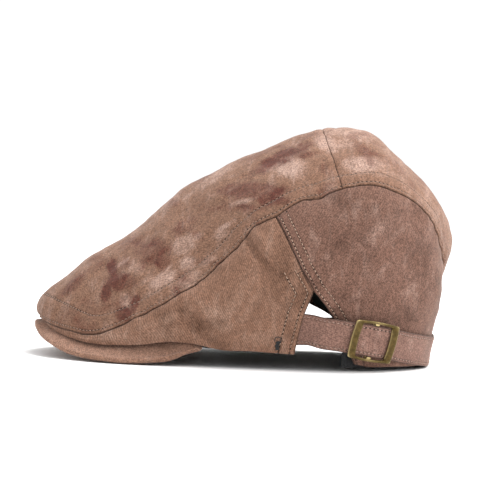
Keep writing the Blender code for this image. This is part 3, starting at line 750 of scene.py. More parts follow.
def top_surface(u, w):
    """Displaced outer and inner grids of a top panel, with its distances from the side seams."""
    base = layer(u, w, 0)
    normal = facing(u, w)
    left, run_left = to_line(base, seam_line(1))
    right, run_right = to_line(base, seam_line(-1))
    nearer = left <= right
    distance = np.where(nearer, left, right)
    wide = NOSE_WIDENING * ramp(distance, 4.0, 11.0) * bell(base[..., 1], *NOSE_ROW)
    distance = distance * (1 - wide)
    run = np.where(nearer, run_left, run_right)
    cross = np.linalg.norm(base - layer(KNOTS[CROSS_SEAM] + 0 * u, w, 0), axis=-1)
    soft = slack(base, w) * ramp(np.minimum(u, 1 - u), 0.0, 0.05)
    height = soft + TOP_PAD * ramp(distance, 0.0, 2.0) * ramp(distance, 13.5, 10.5)
    height += TOP_PUCKER * pucker(run, distance, 8.0, SEAM_SEED) * ramp(distance, 0.0, 1.5)
    height += rows_relief(distance, TOP_ROWS, TOP_GROOVE)
    height += roll(distance, *TOP_ROLL)
    height += roll(cross, *CROSS_ROLL) + 0.3 * bell(cross, 4.0, 2.2)
    height += CROSS_PUCKER * pucker(w * 70, cross, 7.0, CROSS_SEED)
    height -= 0.35 * bell(cross, 9.0, 1.2) * (u > KNOTS[CROSS_SEAM])
    shift = drawn(base, u, w)
    outer = base + normal * height[..., None] + shift
    inner = base - normal * (CLOTH - soft)[..., None] + shift
    return outer, inner, normal, distance, run


def crossing(gap, row):
    """Step that first reaches the row and the share of it needed, or None without such a step."""
    past = np.nonzero(gap >= row)[0]
    if not len(past) or past[0] == 0:
        return None
    k = past[0]
    return k, (row - gap[k - 1]) / (gap[k] - gap[k - 1])


def between(line, k, share):
    return line[k - 1] + (line[k] - line[k - 1]) * share


def along_seam(outer, normal, distance, row, side):
    """Where each grid row crosses this distance from one side's seam."""
    spots = []
    outs = []
    half = outer.shape[1] // 2
    order = slice(None, half, -1) if side > 0 else slice(0, half)
    for i in range(outer.shape[0]):
        found = crossing(distance[i, order], row)
        if found:
            spots.append(between(outer[i, order], *found))
            outs.append(between(normal[i, order], *found))
    return np.array(spots), np.array(outs)


def round_nose(outer, normal, distance, row, side_lines):
    """A seam row's own path: down the left, round the nose and back up the right."""
    left, right = side_lines
    front = []
    out = []
    reach = abs(left[0][0][0])
    for j in range(outer.shape[1]):
        found = crossing(distance[:, j], row)
        if not found:
            continue
        spot = between(outer[:, j], *found)
        if abs(spot[0]) < reach - 1.0:
            front.append(spot)
            out.append(normal[found[0], j])
    front = np.array(front)
    out = np.array(out)
    line = np.concatenate([right[0][::-1], front, left[0]])
    outs = np.concatenate([right[1][::-1], out, left[1]])
    return line, outs


def make_tops(look):
    """The two mottled panels over the head and their double topstitching."""
    threads = []
    seam = KNOTS[CROSS_SEAM]
    for name, start, stop, rows in (
        ("crown_top_front", TOP_TIP, seam - PANEL_STEP, 190),
        ("crown_top_rear", seam + PANEL_STEP, TOP_END, 120),
    ):
        inset = 1 - SEAM_HALF_GAP / 75
        u, w = grid(start, stop, -inset, inset, rows, 130, 0.002, 0.0045)
        outer, inner, normal, distance, run = top_surface(u, w)
        middle = outer[:, outer.shape[1] // 2]
        across = arc_lengths(outer[outer.shape[0] // 2])
        flat = np.stack([arc_lengths(middle)[:, None] + 0 * u, across[None, :] + 0 * u], -1)
        edge = np.stack([run, distance], -1)
        obj = shell(name + "_cloth", outer, inner, flat, edge, top_dye(outer, w))
        place(obj, "cap", (name,), look["mottled"])
        for row in TOP_ROWS:
            sides = [along_seam(outer, normal, distance, row, side) for side in (1, -1)]
            if start == TOP_TIP:
                threads += stitch_row(*round_nose(outer, normal, distance, row, sides))
            else:
                for line, out in sides:
                    threads += stitch_row(line, out)
    sew("topstitching", threads, look["thread"])


# ---- side panels ----

# Washed and bunched patches of the side panels, with painted shade on the upper front panel and painted
# light on its lower part: centre (y, z), half sizes, turn and strength
SIDE_DARK_WASH_AND_SHADE = (
    ((24, 66), (10, 26), -12, 0.5), ((38, 50), (5, 20), -8, 0.45), ((78, 95), (26, 10), 20, 0.35),
    ((80, 60), (18, 12), 30, 0.35), ((96, 34), (20, 9), 0, 0.5), ((62, 36), (8, 12), 0, 0.35),
    ((100, 24), (22, 5), -6, 0.5),
)
# Pale patches: washed cloth, and painted light low on the front panels.
SIDE_PALE_WASH_AND_LIGHT = (
    ((-84, 17), (30, 5), -3, 0.6), ((-62, 14), (18, 5), 0, 0.5), ((-50, 20), (16, 7), 0, 0.6),
    ((-58, 24), (12, 4), 14, 0.5), ((-46, 30), (8, 5), 30, 0.65), ((-22, 12), (10, 4), 0, 0.4),
    ((6, 40), (5, 14), -30, 0.5), ((14, 20), (20, 7), 0, 0.45), ((2, 60), (4, 10), -30, 0.35),
    ((70, 104), (3, 7), -20, 0.6), ((82, 102), (3, 6), -20, 0.5), ((76, 98), (12, 6), 0, 0.4),
    ((60, 98), (10, 4), 0, 0.35), ((96, 88), (14, 2.5), 40, 0.5), ((88, 66), (14, 2.5), 48, 0.5),
    ((104, 62), (3, 12), -10, 0.35), ((72, 50), (10, 2.5), 45, 0.45), ((110, 44), (3, 12), 0, 0.45),
    ((106, 52), (8, 4), 30, 0.5),
)

# Half width of the turned-in cloth behind the slit's joint, along the crown
ALLOWANCE = 0.009
# The same behind the back seam
BACK_ALLOWANCE = 0.03


def side_dye_and_painted_shading(points, side):
    """Dark and pale marks of a side panel: painted shade in its fold valleys, painted light on its fold
    ridges, and the listed side patches, which are partly wash and partly painted shade and light.
    """
    relief = fold_relief(points, FOLDS_LEFT if side > 0 else FOLDS_RIGHT)
    spot = points[..., 1:]
    # Painted shade in the fold valleys and painted light on the fold ridges, from the folds' depth.
    dark = np.maximum(np.clip(-0.3 * relief, 0, 0.9), blots_at(spot, SIDE_DARK_WASH_AND_SHADE))
    pale = np.maximum(np.clip(0.3 * relief, 0, 0.7), blots_at(spot, SIDE_PALE_WASH_AND_LIGHT))
    return np.stack([dark, pale, 0 * dark], -1)


def side_surface(u, w, side, edge_line, rows, hem_rows_from):
    """Displaced outer and inner grids of a side panel, its normals and its edge map."""
    base = layer(u, w, 0)
    normal = facing(u, w)
    seam, seam_run = to_line(base, seam_line(side))
    hem, hem_run = to_line(base, edge_line)
    rim = np.linalg.norm(base - layer(u, side * 2 + 0 * w, 0), axis=-1)
    free = 1 - ramp(np.abs(w), 1.55, 1.8)
    soft = slack(base, w) * ramp(u, 0.0, 0.06) * ramp(u, 1.0, 0.96)
    folds = FOLDS_LEFT if side > 0 else FOLDS_RIGHT
    height = soft + fold_relief(base, folds) * ramp(seam, 0.0, 8.0) * (0.25 + 0.75 * free)
    sewn = ramp(np.abs(w), hem_rows_from - 0.06, hem_rows_from + 0.04)
    height += HEM_PAD * ramp(hem, rows[-1] + 3.0, rows[-1] + 1.0) * sewn * free
    height += rows_relief(hem, rows, HEM_GROOVE) * sewn
    height += HEM_PUCKER * pucker(hem_run, hem, 6.0, HEM_SEED) * sewn * ramp(hem, 0.0, 1.2)
    height += roll(hem, *HEM_ROLL) + roll(rim, *RIM_ROLL)
    height += SIDE_PUCKER * pucker(seam_run, seam, 7.0, SEAM_SEED)
    height += roll(seam, *SIDE_ROLL) - 0.35 * bell(seam, 0.0, 3.5)
    shift = drawn(base, u, w)
    low = ramp(np.abs(w), 1.6, 2.0)
    for place_y, reach, rise in HEM_DRAWS:
        lift = rise * bell(base[..., 1], place_y, reach) * low
        shift = shift + lift[..., None] * np.array([0, 0, 1]) + 0.6 * np.abs(lift)[..., None] * normal
    inner = base - normal * (CLOTH - soft)[..., None] + shift
    outer = base + normal * height[..., None] + shift
    edge = np.stack([hem_run, hem + UNSEWN * (1 - sewn)], -1)
    return outer, inner, normal, hem, edge


def down_edge(outer, normal, distance, row, w, girth_from, girth_to, at_start):
    """Where each column crosses this distance from the panel's stitched end."""
    spots = []
    outs = []
    order = slice(None) if at_start else slice(None, None, -1)
    for j in range(outer.shape[1]):
        if not girth_from <= abs(w[0, j]) <= girth_to:
            continue
        found = crossing(distance[order, j], row)
        if found:
            spots.append(between(outer[order, j], *found))
            outs.append(normal[order, j][found[0]])
    return np.array(spots), np.array(outs)


def make_sides(look):
    """Front and rear side panels, split by the slits over the strap."""
    threads = []
    inset = 1 + SEAM_HALF_GAP / 45
    for side, word in ((1, "left"), (-1, "right")):
        girths, front, rear = slits(side)
        ends = edge_function(girths, front, -PANEL_STEP)
        starts = edge_function(girths, rear, PANEL_STEP)
        span = side * inset, side * 2
        u, w = grid(SIDE_TIP, ends, *span, 190, 62, 0.003, 0.012)
        panel = "side_panel_front_" + word
        sewn = HEM_ROWS, HEM_ROWS_FROM, HEM_ROWS_FROM
        threads += side_panel(panel, u, w, side, ends, sewn, look["brown"])
        u, w = grid(starts, SIDE_END, *span, 150, 78, 0.004, 0.010)
        panel = "side_panel_rear_" + word
        sewn = REAR_ROWS, REAR_RELIEF_FROM, REAR_ROWS_FROM
        threads += side_panel(panel, u, w, side, starts, sewn, look["rosy"])
        make_allowance(side, word, girths, rear, look)
    make_back_allowance(look)
    sew("side_stitching", threads, look["thread_side"])


def side_panel(node, u, w, side, slit_edge, sewn, material):
    """One side panel. Returns the thread of the rows beside its slit."""
    rows, relief_from, thread_from = sewn
    fine = np.linspace(1, 2, 260)
    line = layer(slit_edge(fine), side * fine, 0)
    outer, inner, normal, hem, edge = side_surface(u, w, side, line, rows, relief_from)
    outer = keep_side(outer, side)
    # Dye of this panel, with painted shade in its folds and painted light on their ridges.
    dye_and_painted_shading = side_dye_and_painted_shading(outer, side)
    obj = shell(node + "_cloth", outer, keep_side(inner, side), cloth_uv(outer), edge, dye_and_painted_shading)
    place(obj, "cap", (node,), material)
    threads = []
    for row in rows:
        line, out = down_edge(outer, normal, hem, row, w, thread_from, ROWS_TO, rows is REAR_ROWS)
        threads += stitch_row(line, out)
    return threads


def make_allowance(side, word, girths, rear, look):
    """Turned-in cloth behind the joint of the front and rear panels, above the slit."""
    apex = girths[2]
    w = side * np.linspace(1.03, apex - 0.012, 60)[None, :]
    middle = edge_function(girths, rear)(np.abs(w))
    u = middle + ALLOWANCE * np.linspace(-1, 1, 9)[:, None]
    outer = layer(u, w, CLOTH + 0.1)
    soft = slack(layer(u, w, 0), w)[..., None] * facing(u, w)
    outer = outer + soft
    inner = layer(u, w, CLOTH + 0.6) + soft
    obj = shell("slit_allowance_" + word, outer, inner, *plain_maps(outer))
    place(obj, "cap", (), look["brown"])


def make_back_allowance(look):
    """Turned-in cloth behind the back seam, up past the tip of the rear top panel."""
    s = np.linspace(-1, 1, 13)[:, None]
    w = np.linspace(0.86, 1.94, 70)[None, :]
    u = 1 - BACK_ALLOWANCE * np.abs(s) + 0 * w
    w = np.where(s < 0, -w, w + 0 * s)
    outer = layer(u, w, CLOTH + 0.15)
    inner = layer(u, w, CLOTH + 0.65)
    obj = shell("back_allowance", outer, inner, *plain_maps(outer))
    place(obj, "cap", (), look["rosy"])


# ---- lining and sweatband ----


def plain_maps(points):
    flat = cloth_uv(points)
    return flat, np.full(flat.shape, UNSEWN)


def lining_piece(name, u, w, side, look):
    base_depth = CLOTH + LAYER_GAP
    outer = layer(u, w, base_depth)
    normal = facing(u, w)
    soft = slack(layer(u, w, 0), w) * ramp(np.minimum(u, 1 - u), 0.0, 0.05)
    crease = 0.18 * np.clip(waves(outer, 14, 33), -1.5, 0.6)
    outer = outer + normal * (soft + crease)[..., None]
    inner = outer - normal * LINING
    if side:
        outer, inner = keep_side(outer, side), keep_side(inner, side)
    obj = shell(name + "_satin", outer, inner, *plain_maps(outer))
    place(obj, "cap", (name,), look["lining"])


def make_linings(look):
    start = edge_function(WALL_GIRTH, WALL_TOP)
    top = LINING_TOP_GIRTH
    u, w = grid(start, TOP_END - LINING_BACK, -top, top, 90, 70)
    lining_piece("lining_crown", u, w, 0, look)
    for side, word in ((1, "left"), (-1, "right")):
        girths, front, rear = slits(side)
        upper, lower = (side * girth for girth in LINING_SIDE_GIRTH)
        ends = edge_function(girths, front, -LINING_BACK_OFF)
        u, w = grid(start, ends, upper, lower, 36, 40)
        lining_piece("lining_side_front_" + word, u, w, side, look)
        starts = edge_function(girths, rear, LINING_REAR_START)
        u, w = grid(starts, SIDE_END - LINING_REAR_END, upper, lower, 60, 44)
        lining_piece("lining_side_rear_" + word, u, w, side, look)
    make_front_wall(start, look)


def make_front_wall(start, look):
    """Wall from the forehead seam up to the crown, behind the hollow nose."""
    w = np.linspace(-WALL_REACH, WALL_REACH, 91)
    shifted = start(np.abs(w)) - 0.005
    top = layer(shifted, w, CLOTH + LAYER_GAP)
    limit = oval_angle(PEAK_END_Y, PEAK_INSET)
    angle = w / 2 * limit
    x, y = oval(angle, BAND_INSET - LAYER_GAP - LINING)
    bottom = np.stack([x, y, peak_back_z(x) + WALL_RISE], axis=-1)
    rise = np.linspace(0, 1, 40)[:, None, None]
    outer = bottom + (top - bottom) * np.concatenate([rise**1.5, rise**1.5, rise], axis=-1)
    x_in, y_in = oval(angle, BAND_INSET - LAYER_GAP)
    inward = unit(np.stack([x_in - x, y_in - y, 0 * x], axis=-1))
    gathers = 0.35 * waves(outer * [1, 1, 0.25], 12, 52) * ramp(rise[..., 0], 0, 0.2)
    outer = outer - inward * np.minimum(gathers, 0.3)[..., None]
    obj = shell("lining_front_satin", outer, outer + inward * LINING, *plain_maps(outer))
    place(obj, "cap", ("lining_front",), look["lining"])


def band(name, angle_from, angle_to, columns, z_low, z_high, look):
    """Sweatband piece round the head oval, soft along its free upper edge."""
    angle = np.linspace(angle_from, angle_to, columns)
    rise = edge_spaced(26, 0.02)[:, None]
    low = z_low(angle)
    high = z_high(angle)
    z = low + (high - low) * rise
    x, y = oval(angle, BAND_INSET)
    length = arc_lengths(np.stack([x, y, 0 * x], -1))[None, :] + 0 * z
    lean = 0.35 * waves(length.ravel(), 26, 61).reshape(length.shape) * ramp(rise, 0.3, 1.0)
    lean = np.maximum(lean, 0) + 0.12 * bell(z - low, 2.0, 0.8)
    swell = np.minimum(0.5 * BAND, 0.25 + 1.2 * np.minimum(rise, 1 - rise) * 10)
    middle = BAND_INSET + 0.5 * BAND + lean
    outer = np.stack(np.broadcast_arrays(*oval(angle, middle - swell), z), axis=-1)
    inner = np.stack(np.broadcast_arrays(*oval(angle, middle + swell), z), axis=-1)
    flat = np.stack([length, z], -1)
    edge = np.stack([length, np.minimum(z - low, UNSEWN - 1)], -1)
    obj = shell(name + "_tape", outer, inner, flat, edge)
    place(obj, "cap", (name,), look["band"])


def make_sweatbands(look):
    limit = oval_angle(PEAK_END_Y, PEAK_INSET)

    def front_low(angle):
        x, _ = oval(np.minimum(np.abs(angle), limit), BAND_INSET)
        return np.maximum(peak_back_z(x) - BAND_BELOW, BAND_SIDE_Z - 1)

    def front_high(angle):
        return front_low(angle) + BAND_HEIGHT

    ahead = oval_angle(BAND_FRONT_END_Y, BAND_INSET)
    band("sweatband_front", -ahead, ahead, 181, front_low, front_high, look)
    behind = oval_angle(BAND_REAR_END_Y, BAND_INSET)

    def rear_low(angle):
        return BAND_REAR_Z + 0 * angle

    def rear_high(angle):
        share = np.abs(np.abs(angle) - math.pi) / (math.pi - behind)
        return BAND_REAR_Z + BAND_HEIGHT * (1 - BAND_TAPER * np.clip(share, 0, 1) ** 6)

    band("sweatband_rear", behind, 2 * math.pi - behind, 161, rear_low, rear_high, look)


# ---- peak ----

PEAK_T = 2 * COVER + BOARD + 2 * GAP
PEAK_ROLL = 0.5 * PEAK_T
BOARD_REACH = 0.9
# How far the peak's ends are pulled up and in under the side panels' edge
PEAK_TUCK = 2.6


def make_peak(look):
    """Two cloth covers sewn round the board: the upper one rolls over the edge to meet the lower."""
    t = (2 * edge_spaced(230, 0.0015) - 1)[:, None]
    flat_v = np.concatenate([np.linspace(0, 0.9, 26), np.linspace(0.915, 0.985, 8)])[None, :]
    turn = np.linspace(0, 0.62 * math.pi, 12)[None, :]
    cover_peak("peak_cover_top_cloth", t, flat_v, turn, 1, "peak_cover_top", look["visor"])
    turn = np.linspace(math.pi, 0.64 * math.pi, 8)[None, :]
    cover_peak("peak_cover_bottom_cloth", t, flat_v, turn, -1, "peak_cover_bottom", look["visor"])
    make_board(look)


def peak_swell(t, v):
    """How far the peak's cloth stands off its board, none at its ends."""
    return 0.22 * waves(peak_face(t, v), 30, 71) * ramp(v, 0.25, 0.6) * ramp(1 - np.abs(t), 0, 0.06)


def cover_peak(name, t, flat_v, turn, upward, node, material):
    """Face of the peak out to its edge, then a part of the round that joins both faces."""
    top_normal, _ = peak_normal(t, flat_v)
    face = peak_face(t, flat_v)
    half_run = 0.5 * arc_lengths(face[:, -1])[-1]
    to_end = (1 - np.abs(t)) * half_run
    thick = PEAK_ROLL * np.sqrt(1 - np.clip(1 - to_end / PEAK_ROLL, 0, 0.995) ** 2)
    thick = thick * ramp(to_end, -4.0, 17.0)
    depth = PEAK_ROLL - upward * thick - peak_swell(t, flat_v)
    face = face - top_normal * depth[..., None]
    edge_v = float(flat_v[0, -1]) + 0 * turn
    rim_normal, rim_out = peak_normal(t, edge_v)
    centre = peak_face(t, edge_v) - rim_normal * (PEAK_ROLL - peak_swell(t, edge_v))[..., None]
    tuck = (PEAK_TUCK * (1 - ramp(to_end, 0.0, 22.0)))[..., None]
    up = np.concatenate([-0.5 * np.sign(t), 0 * t, 1 + 0 * t], axis=1)[:, None]
    face = face + tuck * ramp(flat_v, 0.6, 1.0)[..., None] * up
    centre = centre + tuck * up
    round_off = rim_normal * np.cos(turn)[..., None] + rim_out * np.sin(turn)[..., None]
    outer = np.concatenate([face, centre + round_off * thick[..., None]], axis=1)
    out = np.concatenate([top_normal * upward, round_off], axis=1)
    inner = outer - out * np.minimum(COVER, 0.6 * thick)[..., None]
    run = arc_lengths(outer[:, flat_v.shape[1] - 1])
    across = arc_lengths(outer[len(t) // 2])
    flat = np.stack([run[:, None] + 0 * across, across[None, :] + 0 * run[:, None]], -1)
    edge = np.full(flat.shape, UNSEWN)
    obj = shell(name, outer, inner, flat, edge)
    place(obj, "cap", (node,), material)


def make_board(look):
    """Pale stiffener between the covers, with its edge rounded."""
    t = np.linspace(-BOARD_REACH, BOARD_REACH, 91)[:, None]
    v = (0.03 + 0.93 * edge_spaced(20, 0.01))[None, :]
    normal, _ = peak_normal(t, v)
    middle = peak_face(t, v) - normal * PEAK_ROLL
    thin = 0.5 * BOARD * ramp(np.minimum(v, 0.99 - v), -0.02, 0.03)
    thin = thin * ramp(BOARD_REACH - np.abs(t), -0.01, 0.02)
    outer = middle + normal * thin[..., None]
    obj = shell("peak_board_sheet", outer, middle - normal * thin[..., None], *plain_maps(outer))
    place(obj, "cap", ("peak_board",), look["board"])


# ---- strap and buckle ----


def arc_frame():
    """Centre, axis and the two directions across it, the first pointing at the buckle."""
    centre = np.array(ARC_CENTRE)
    axis = unit(np.array(ARC_AXIS))
    reach = np.array([BUCKLE_AT[0] - centre[0], BUCKLE_AT[1] - centre[1], 0.0])
    first = unit(reach - axis * (reach @ axis))
    return centre, axis, first, np.cross(axis, first)


def arc_point(angle, height):
    centre, axis, first, second = arc_frame()
    radius = ARC_R + height * ARC_LEAN
    around = first * math.cos(angle) + second * math.sin(angle)
    return centre + axis * height + around * radius


def strap_sections():
    """Edges of the strap's middle surface, from the left hem round the back to the right."""
    half = 0.5 * STRAP_W / math.hypot(1, ARC_LEAN)
    sections = []

    def follow(u, girth, side, depth):
        upper = layer(np.array([u]), np.array([side * girth]), depth)[0]
        below = layer(np.array([u]), np.array([side * min(girth + STRAP_FALL, 2.0)]), depth)[0]
        sections.append((upper, upper + unit(below - upper) * STRAP_W))

    under = CLOTH + GAP + 0.5 * STRAP_T
    over = -(GAP + 0.5 * STRAP_T)
    for u in STRAP_UNDER:
        follow(u, STRAP_UNDER_GIRTH, 1, under)
    for degrees in np.linspace(ARC_FROM, ARC_TO, 12):
        angle = math.radians(degrees)
        sections.append((arc_point(angle, half), arc_point(angle, -half)))
    for u, girth in zip(STRAP_BACK, STRAP_BACK_GIRTH):
        follow(u, girth, 1, over)
    for u, girth in zip(STRAP_RIGHT, STRAP_RIGHT_GIRTH):
        follow(u, girth, -1, over)
    follow(STRAP_CROSS, STRAP_END_GIRTH, -1, 0.5 * (over + under))
    for u in STRAP_END:
        follow(u, STRAP_END_GIRTH, -1, under + 0.5 * GAP)
    return np.array(sections)


def make_strap(look):
    """Rosy cloth strap with folded edges, stitched along both of them."""
    sections = strap_sections()
    middle = sections.mean(axis=1)
    knots = arc_lengths(middle)
    knots = knots / knots[-1]
    t = np.linspace(0, 1, 300)
    upper = spline(knots, sections[:, 0], t)
    lower = spline(knots, sections[:, 1], t)
    run = arc_lengths(0.5 * (upper + lower))
    across = unit(upper - lower)
    along = unit(np.gradient(0.5 * (upper + lower), axis=0))
    normal = unit(np.cross(along, across))
    share = edge_spaced(22, 0.012)[None, :]
    sway = 0.05 * waves(run, 17, 81)[:, None, None] * across[:, None]
    grid_points = lower[:, None] + (upper - lower)[:, None] * share[..., None] + sway
    gap = STRAP_W * np.minimum(share, 1 - share) + 0 * run[:, None]
    half = 0.5 * STRAP_T + roll(gap, *STRAP_ROLL)
    face = half + rows_relief(gap, STRAP_ROWS, STRAP_GROOVE) + 0.05 * waves(grid_points, 9, 83)
    face += 0.12 * ramp(gap, 4.6, 3.6) * ramp(gap, 0.2, 1.0)
    outer = grid_points + normal[:, None] * face[..., None]
    inner = grid_points - normal[:, None] * half[..., None]
    flat = np.stack([run[:, None] + 0 * gap, STRAP_W * share + 0 * gap], -1)
    edge = np.stack([run[:, None] + 0 * gap, gap], -1)
    obj = shell("adjuster_strap_cloth", outer, inner, flat, edge)
    place(obj, "cap", ("adjuster_strap",), look["strap"])
    threads = []
    for low_side in (True, False):
        row = STRAP_ROWS[0] / STRAP_W
        row = row if low_side else 1 - row
        line = np.stack([
            np.array([np.interp(row, share[0], outer[i, :, c]) for i in range(len(run))])
            for c in range(3)
        ], -1)
        threads += stitch_row(line, normal, STRAP_PITCH)
    sew("strap_stitching", threads, look["thread_rosy"])



def ring_loop(length, height, bow, corner, steps):
    """Bowed rectangle from the lower left corner round, with small round corners."""
    loop = []
    for sx, sy, ex, ey in ((-1, -1, 1, -1), (1, -1, 1, 1), (1, 1, -1, 1), (-1, 1, -1, -1)):
        for k in range(steps):
            s = k / steps
            x = 0.5 * length * (sx + (ex - sx) * s)
            y = 0.5 * height * (sy + (ey - sy) * s)
            out = bow * (1 - (2 * s - 1) ** 2)
            if sx == ex:
                x += math.copysign(out, sx)
            else:
                y += math.copysign(out, sy)
            loop.append((x, y))
    loop = np.array(loop)
    for k in (0, steps, 2 * steps, 3 * steps):
        pull = 0.5 * (loop[k - 1] + loop[(k + 1) % len(loop)]) - loop[k]
        loop[k] += unit(pull) * corner * 0.4
    return loop


def make_buckle(look):
    """Antique brass slide: crowned side bars, thin bowed rails and the bar behind the strap."""
    centre, axis, first, second = arc_frame()
    lean = unit(axis + first * ARC_LEAN)
    outward = np.cross(second, lean)
    ring_low = 0.5 * STRAP_T + GAP - ARC_SAG
    steps = 26
    outer = ring_loop(BUCKLE_L, BUCKLE_H, BUCKLE_BOW, BUCKLE_CORNER, steps)
    inner = ring_loop(BUCKLE_L - 2 * BUCKLE_BAR, BUCKLE_H - 2 * BUCKLE_RAIL, BUCKLE_BOW, 0.3, steps)
    turn = np.linspace(0, 2 * math.pi, 20, endpoint=False)
    reach = signed_power(np.cos(turn), 0.42)
    rise = signed_power(np.sin(turn), 0.5)
    width = np.linalg.norm(outer - inner, axis=1)
    points = []
    for k in range(len(outer)):
        middle = 0.5 * (outer[k] + inner[k])
        half = 0.5 * (outer[k] - inner[k])
        crowned = 0.28 * min(width[k], 6.0) / 6.0 * (1 - reach**2) * (rise > 0)
        wear = 0.02 * math.sin(k * 0.61)
        z = 0.5 * BUCKLE_T * (1 + rise) + crowned + wear * (rise > 0)
        xy = middle + half * reach[:, None]
        points.append(np.column_stack([xy, z]))
    points = np.array(points)
    count, sides = points.shape[:2]
    faces = []
    for k in range(count):
        n = (k + 1) % count
        for j in range(sides):
            m = (j + 1) % sides
            faces.append((k * sides + j, k * sides + m, n * sides + m, n * sides + j))
    bottom = -0.5 * STRAP_T - GAP - BAR_T - ring_low
    bar_y = np.linspace(-0.5 * BUCKLE_H + 0.6, 0.5 * BUCKLE_H - 0.6, 25)
    parts = [(points.reshape(-1, 3), faces), rounded_bar(bar_y, bottom + 0.5 * BAR_T)]
    for end in (-1, 1):
        lug_z = np.linspace(bottom, 0.3 * BUCKLE_T, 8)
        parts.append(lug(end * (0.5 * BUCKLE_H - 0.5 * LUG_T), lug_z))
    ring, loops = merge(parts)
    world = np.outer(ring[:, 0], second) + np.outer(ring[:, 1], lean) + np.outer(ring[:, 2], outward)
    world = world + centre + first * ARC_R + outward * ring_low
    obj = new_mesh("buckle_brass", world, loops, sharp=70)
    place(obj, "buckle", ("buckle",), look["brass"])


def rounded_bar(bar_y, level):
    """Bar along the buckle's height with a softened square section."""
    turn = np.linspace(0, 2 * math.pi, 16, endpoint=False)
    x = 0.5 * BAR_W * signed_power(np.cos(turn), 0.45)
    z = 0.5 * BAR_T * signed_power(np.sin(turn), 0.45)
    return loft([np.column_stack([x, y + 0 * x, z + level]) for y in bar_y])


def lug(at_y, lug_z):
    """Short post that joins the bar to a rail."""
    turn = np.linspace(0, 2 * math.pi, 16, endpoint=False)
    x = 0.5 * BAR_W * signed_power(np.cos(turn), 0.5)
    y = 0.5 * LUG_T * 0.96 * signed_power(np.sin(turn), 0.5)
    return loft([np.column_stack([x, y + at_y, level + 0 * x]) for level in lug_z])


def loft(rings):
    """Closed body through matching rings of points."""
    points = np.array(rings)
    count, sides = points.shape[:2]
    faces = []
    for i in range(count - 1):
        for j in range(sides):
            m = (j + 1) % sides
            faces.append((i * sides + j, i * sides + m, (i + 1) * sides + m, (i + 1) * sides + j))
    faces.append(tuple(range(sides)))
    faces.append(tuple(range((count - 1) * sides, count * sides)))
    return points.reshape(-1, 3), faces


# ---- bar tacks ----


def make_bar_tacks(look):
    """Black thread wound over the hem's end, with one loose loop."""
    for side, word in ((1, "left"), (-1, "right")):
        parts = []
        rng = np.random.default_rng(5 + side)
        count = 26
        zig = np.arange(count)
        u = TACK_U + TACK_SPAN * (0.5 + 0.55 * (-1.0) ** zig * rng.uniform(0.5, 1.0, count))
        w = side * (TACK_GIRTH + TACK_RISE * zig / (count - 1) + rng.uniform(-0.004, 0.004, count))
        line = layer(u, w, 0)
        normal = facing(u, w)
        line = line + normal * (TACK_OFF + rng.uniform(-0.3, 0.45, count))[:, None]
        smooth = spline(np.linspace(0, 1, count), line, np.linspace(0, 1, count * 7))
        parts.append(tube(smooth, 0.3))
        turn = np.linspace(0, 1.7 * math.pi, 26)
        loop_u = TACK_U + TACK_SPAN * (0.5 + 0.8 * np.sin(turn))
        loop_w = side * (TACK_GIRTH - 0.012 + 0.022 * np.cos(turn))
        loop = layer(loop_u, loop_w, 0)
        loop = loop + facing(loop_u, loop_w) * (0.7 + 0.5 * np.sin(0.5 * turn))[:, None]
        parts.append(tube(loop, 0.24))
        obj = new_mesh("bar_tack_%s_thread" % word, *merge(parts))
        place(obj, "cap", ("bar_tack_" + word,), look["black_thread"])


# ---- materials ----


def srgb(red, green, blue):
    """Linear colour of a display colour given 0 to 255."""
    value = np.array([red, green, blue]) / 255
    low = value / 12.92
    high = ((value + 0.055) / 1.055) ** 2.4
    return tuple(float(c) for c in np.where(value <= 0.04045, low, high))


